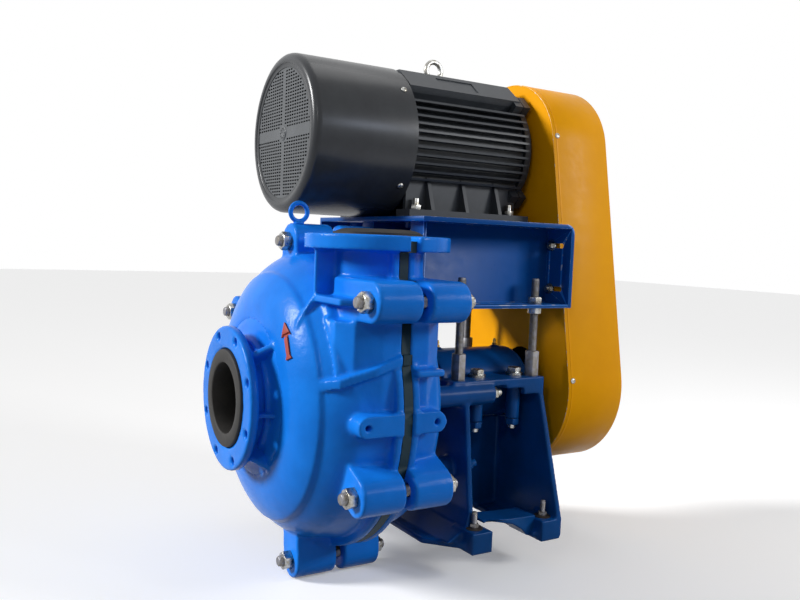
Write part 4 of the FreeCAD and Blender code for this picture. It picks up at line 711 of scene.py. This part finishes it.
def make_guard_seam():
    """The folded lip where the guard's cover laps over its back panel: a slim band of the cover, proud."""
    front_y, back_y, proud = 561.5, 564.5, 0.9
    seam = copy_of("guard_cover", "guard_lap_seam")
    edit(seam)
    bpy.ops.mesh.bisect(plane_co=point(0, front_y, 0), plane_no=(0, 1, 0), clear_inner=True, use_fill=True)
    bpy.ops.mesh.select_all(action="SELECT")
    bpy.ops.mesh.bisect(plane_co=point(0, back_y, 0), plane_no=(0, 1, 0), clear_outer=True, use_fill=True)
    leave()
    modify(seam, "DISPLACE", strength=proud * MM, mid_level=0.0, direction="NORMAL")
    closed_up(seam)
    done(seam, "platform", "guard_amber", guard_enamel)


def narrow(piece, width_mm):
    """Tells the slim faces of a broken edge from the broad faces beside it."""
    verts = piece.data.vertices

    def slim(face):
        reach = max((verts[i].co - verts[j].co).length for i in face.vertices for j in face.vertices)
        return face.area < reach * width_mm * MM

    return slim


def enamel_over(piece, material, covered):
    """Gives the faces for which covered(face) is true a second finish, as where nuts are painted over."""
    piece.data.materials.append(material)
    for face in piece.data.polygons:
        if covered(face):
            face.material_index = 1


def make_discharge_lip():
    """Moulded rubber lip on the discharge flange, domed and a little uneven."""
    lip = lathed("moulded_discharge_lip", [
        (51.2, 352.0), (51.2, 360.0), (53.0, 364.0), (58.0, 366.4), (66.0, 366.8), (76.0, 365.0),
        (85.0, 361.4), (91.0, 357.6), (93.0, 354.4), (93.0, 352.0)], 96, ring=True)
    lip.location = point(discharge_x, 0, 0)
    applied(lip)
    unevenness = bpy.data.textures.new("lip_unevenness", "CLOUDS")
    unevenness.noise_scale = 45 * MM
    modify(lip, "DISPLACE", texture=unevenness, strength=2.2 * MM, mid_level=0.62, direction="Z",
           texture_coords="GLOBAL")
    closed_up(lip, 60.0)
    done(lip, "pump", "liner_rubber", liner_rubber)


make_arrow()
make_cowl()
make_grille()
make_screws()
make_rods()
make_foot_studs()
make_neck_apron()
make_joint_band()
make_foot_bridges()
make_guard_seam()
make_discharge_lip()

rounded_plate("suction_joint_ring", "moulded_suction_ring", "pump", "liner_rubber", liner_rubber, 3.0, 40)
rounded_plate("casing_nuts", "forged_casing_nuts", "pump", "zinc_steel", zinc, 0.8)
rounded_plate("coupling_nuts", "long_coupling_nuts", "pump", "zinc_steel", thread_zinc, 0.8)
rounded_plate("platform_nuts", "forged_platform_nuts", "platform", "zinc_steel", zinc, 0.8)
# the lower ends of these were painted over with the base
for node, name, painted_below in (("clamp_bolts", "forged_clamp_bolts", -60.0),
                                  ("frame_plate_studs", "painted_frame_studs", -30.0)):
    bolts = rounded_plate(node, name, "pump", "zinc_steel", zinc, 0.8)
    paint_line = point(0, 0, painted_below).z
    enamel_over(bolts, painted_shade_base_enamel, lambda face: face.center.z < paint_line)
rounded_plate("motor_foot_bolts", "forged_motor_bolts", "platform", "zinc_steel", zinc, 0.7)
for node, name, slot, material, edge, width in (
        ("motor_platform", "folded_motor_platform", "base_blue", platform_enamel, plate_edge, 1.4),
        ("platform_near_channel", "rolled_near_channel", "base_blue", platform_enamel, plate_edge, 1.3),
        ("platform_far_channel", "rolled_far_channel", "base_blue", platform_enamel, plate_edge, 1.3),
        ("guard_cover", "folded_guard_cover", "guard_amber", guard_enamel, guard_edge, 0.9)):
    plate = rounded_plate(node, name, "platform", slot, material, width)
    enamel_over(plate, edge, narrow(plate, width_mm=1.3))


# ---- stage, lights and camera ----------------------------------------------------------
def lamp(name, kind, place, target, power, **settings):
    """A lamp that faces its target."""
    light = bpy.data.lights.new(name, kind)
    light.energy = power
    for setting, value in settings.items():
        setattr(light, setting, value)
    holder = bpy.data.objects.new(name, light)
    bpy.context.scene.collection.objects.link(holder)
    holder.location = place
    holder.rotation_euler = (Vector(target) - Vector(place)).to_track_quat("-Z", "Y").to_euler()


def seen_directly(tree):
    """1 for rays from the camera or by way of gloss or glass, and 0 for the light that falls on things."""
    path = add(tree, "ShaderNodeLightPath").outputs
    seen = path["Is Camera Ray"]
    for kind in ("Is Glossy Ray", "Is Transmission Ray"):
        seen = add(tree, "ShaderNodeMath", {0: seen, 1: path[kind]}, operation="MAXIMUM").outputs["Value"]
    return seen


def make_stage(glow):
    """A pale floor just under the casing's lowest point. It throws back less light than it shows, and
    glow is the camera's share of it that no shadow reaches."""
    floor = added("studio_floor", bpy.ops.mesh.primitive_plane_add, size=30.0,
                  location=(0, 0, cad_low.z - 2 * MM))
    material, tree, shader, place = start("matt_white_floor", Roughness=0.9)
    shader.inputs["Specular IOR Level"].default_value = 0.0
    seen = seen_directly(tree)
    tree.links.new(mixed(tree, seen, linear("#7C7C7C"), linear("#F4F4F4")), shader.inputs["Base Color"])
    shader.inputs["Emission Color"].default_value = linear("#FFFFFF")
    tree.links.new(spread(tree, seen, 0.0, 1.0, 0.0, glow), shader.inputs["Emission Strength"])
    floor.data.materials.append(material)


def make_camera():
    """The camera stands near the suction end, level with the shaft, and leans a little."""
    place, lens = (1.639, -1.1845, 0.676), 36.59
    azimuth, pitch, roll = math.radians(58.71), math.radians(3.93), math.radians(2.25)
    data = bpy.data.cameras.new("camera")
    data.lens = lens
    data.clip_end = 100.0
    camera = bpy.data.objects.new("camera", data)
    bpy.context.scene.collection.objects.link(camera)
    bpy.context.scene.camera = camera
    ahead = Vector((-math.sin(azimuth) * math.cos(pitch), math.cos(azimuth) * math.cos(pitch),
                    -math.sin(pitch)))
    right = ahead.cross(Vector(UP)).normalized()
    up = right.cross(ahead)
    right, up = right * math.cos(roll) + up * math.sin(roll), up * math.cos(roll) - right * math.sin(roll)
    turn = Matrix((right, up, -ahead)).transposed().to_4x4()
    camera.matrix_world = Matrix.Translation(place) @ turn


def make_world(fill):
    """Soft even fill; the camera, glossy and clear surfaces see the studio's white backdrop instead."""
    world = bpy.data.worlds.new("studio")
    bpy.context.scene.world = world
    world.use_nodes = True
    tree = world.node_tree
    tree.nodes.clear()
    strength = spread(tree, seen_directly(tree), 0.0, 1.0, fill, 1.0)
    sky = add(tree, "ShaderNodeBackground", {"Color": linear("#FFFFFF"), "Strength": strength})
    output = add(tree, "ShaderNodeOutputWorld")
    tree.links.new(sky.outputs["Background"], output.inputs["Surface"])


bpy.context.scene.view_settings.view_transform = "Standard"
make_world(fill=0.20)
make_stage(glow=0.22)
make_camera()
lamp("key_light", "SUN", (-0.5, -1.0, 0.5), (0, 0, 0), 3.8, angle=math.radians(14))
lamp("side_softbox", "AREA", (2.3, 2.1, 1.9), (0, 0.3, 0.7), 46, size=0.8)
lamp("glint_lamp", "AREA", (2.4, -2.8, 2.4), (0, 0, 0.5), 8, size=0.16)
lamp("cowl_strip", "AREA", (2.6, 0.95, 1.73), (-0.14, -0.25, 0.92), 7, size=0.3,
     color=linear("#DCE8FF")[:3])
lamp("top_softbox", "AREA", (-0.4, 0.6, 3.4), (0, 0, 0.5), 6, size=1.2)
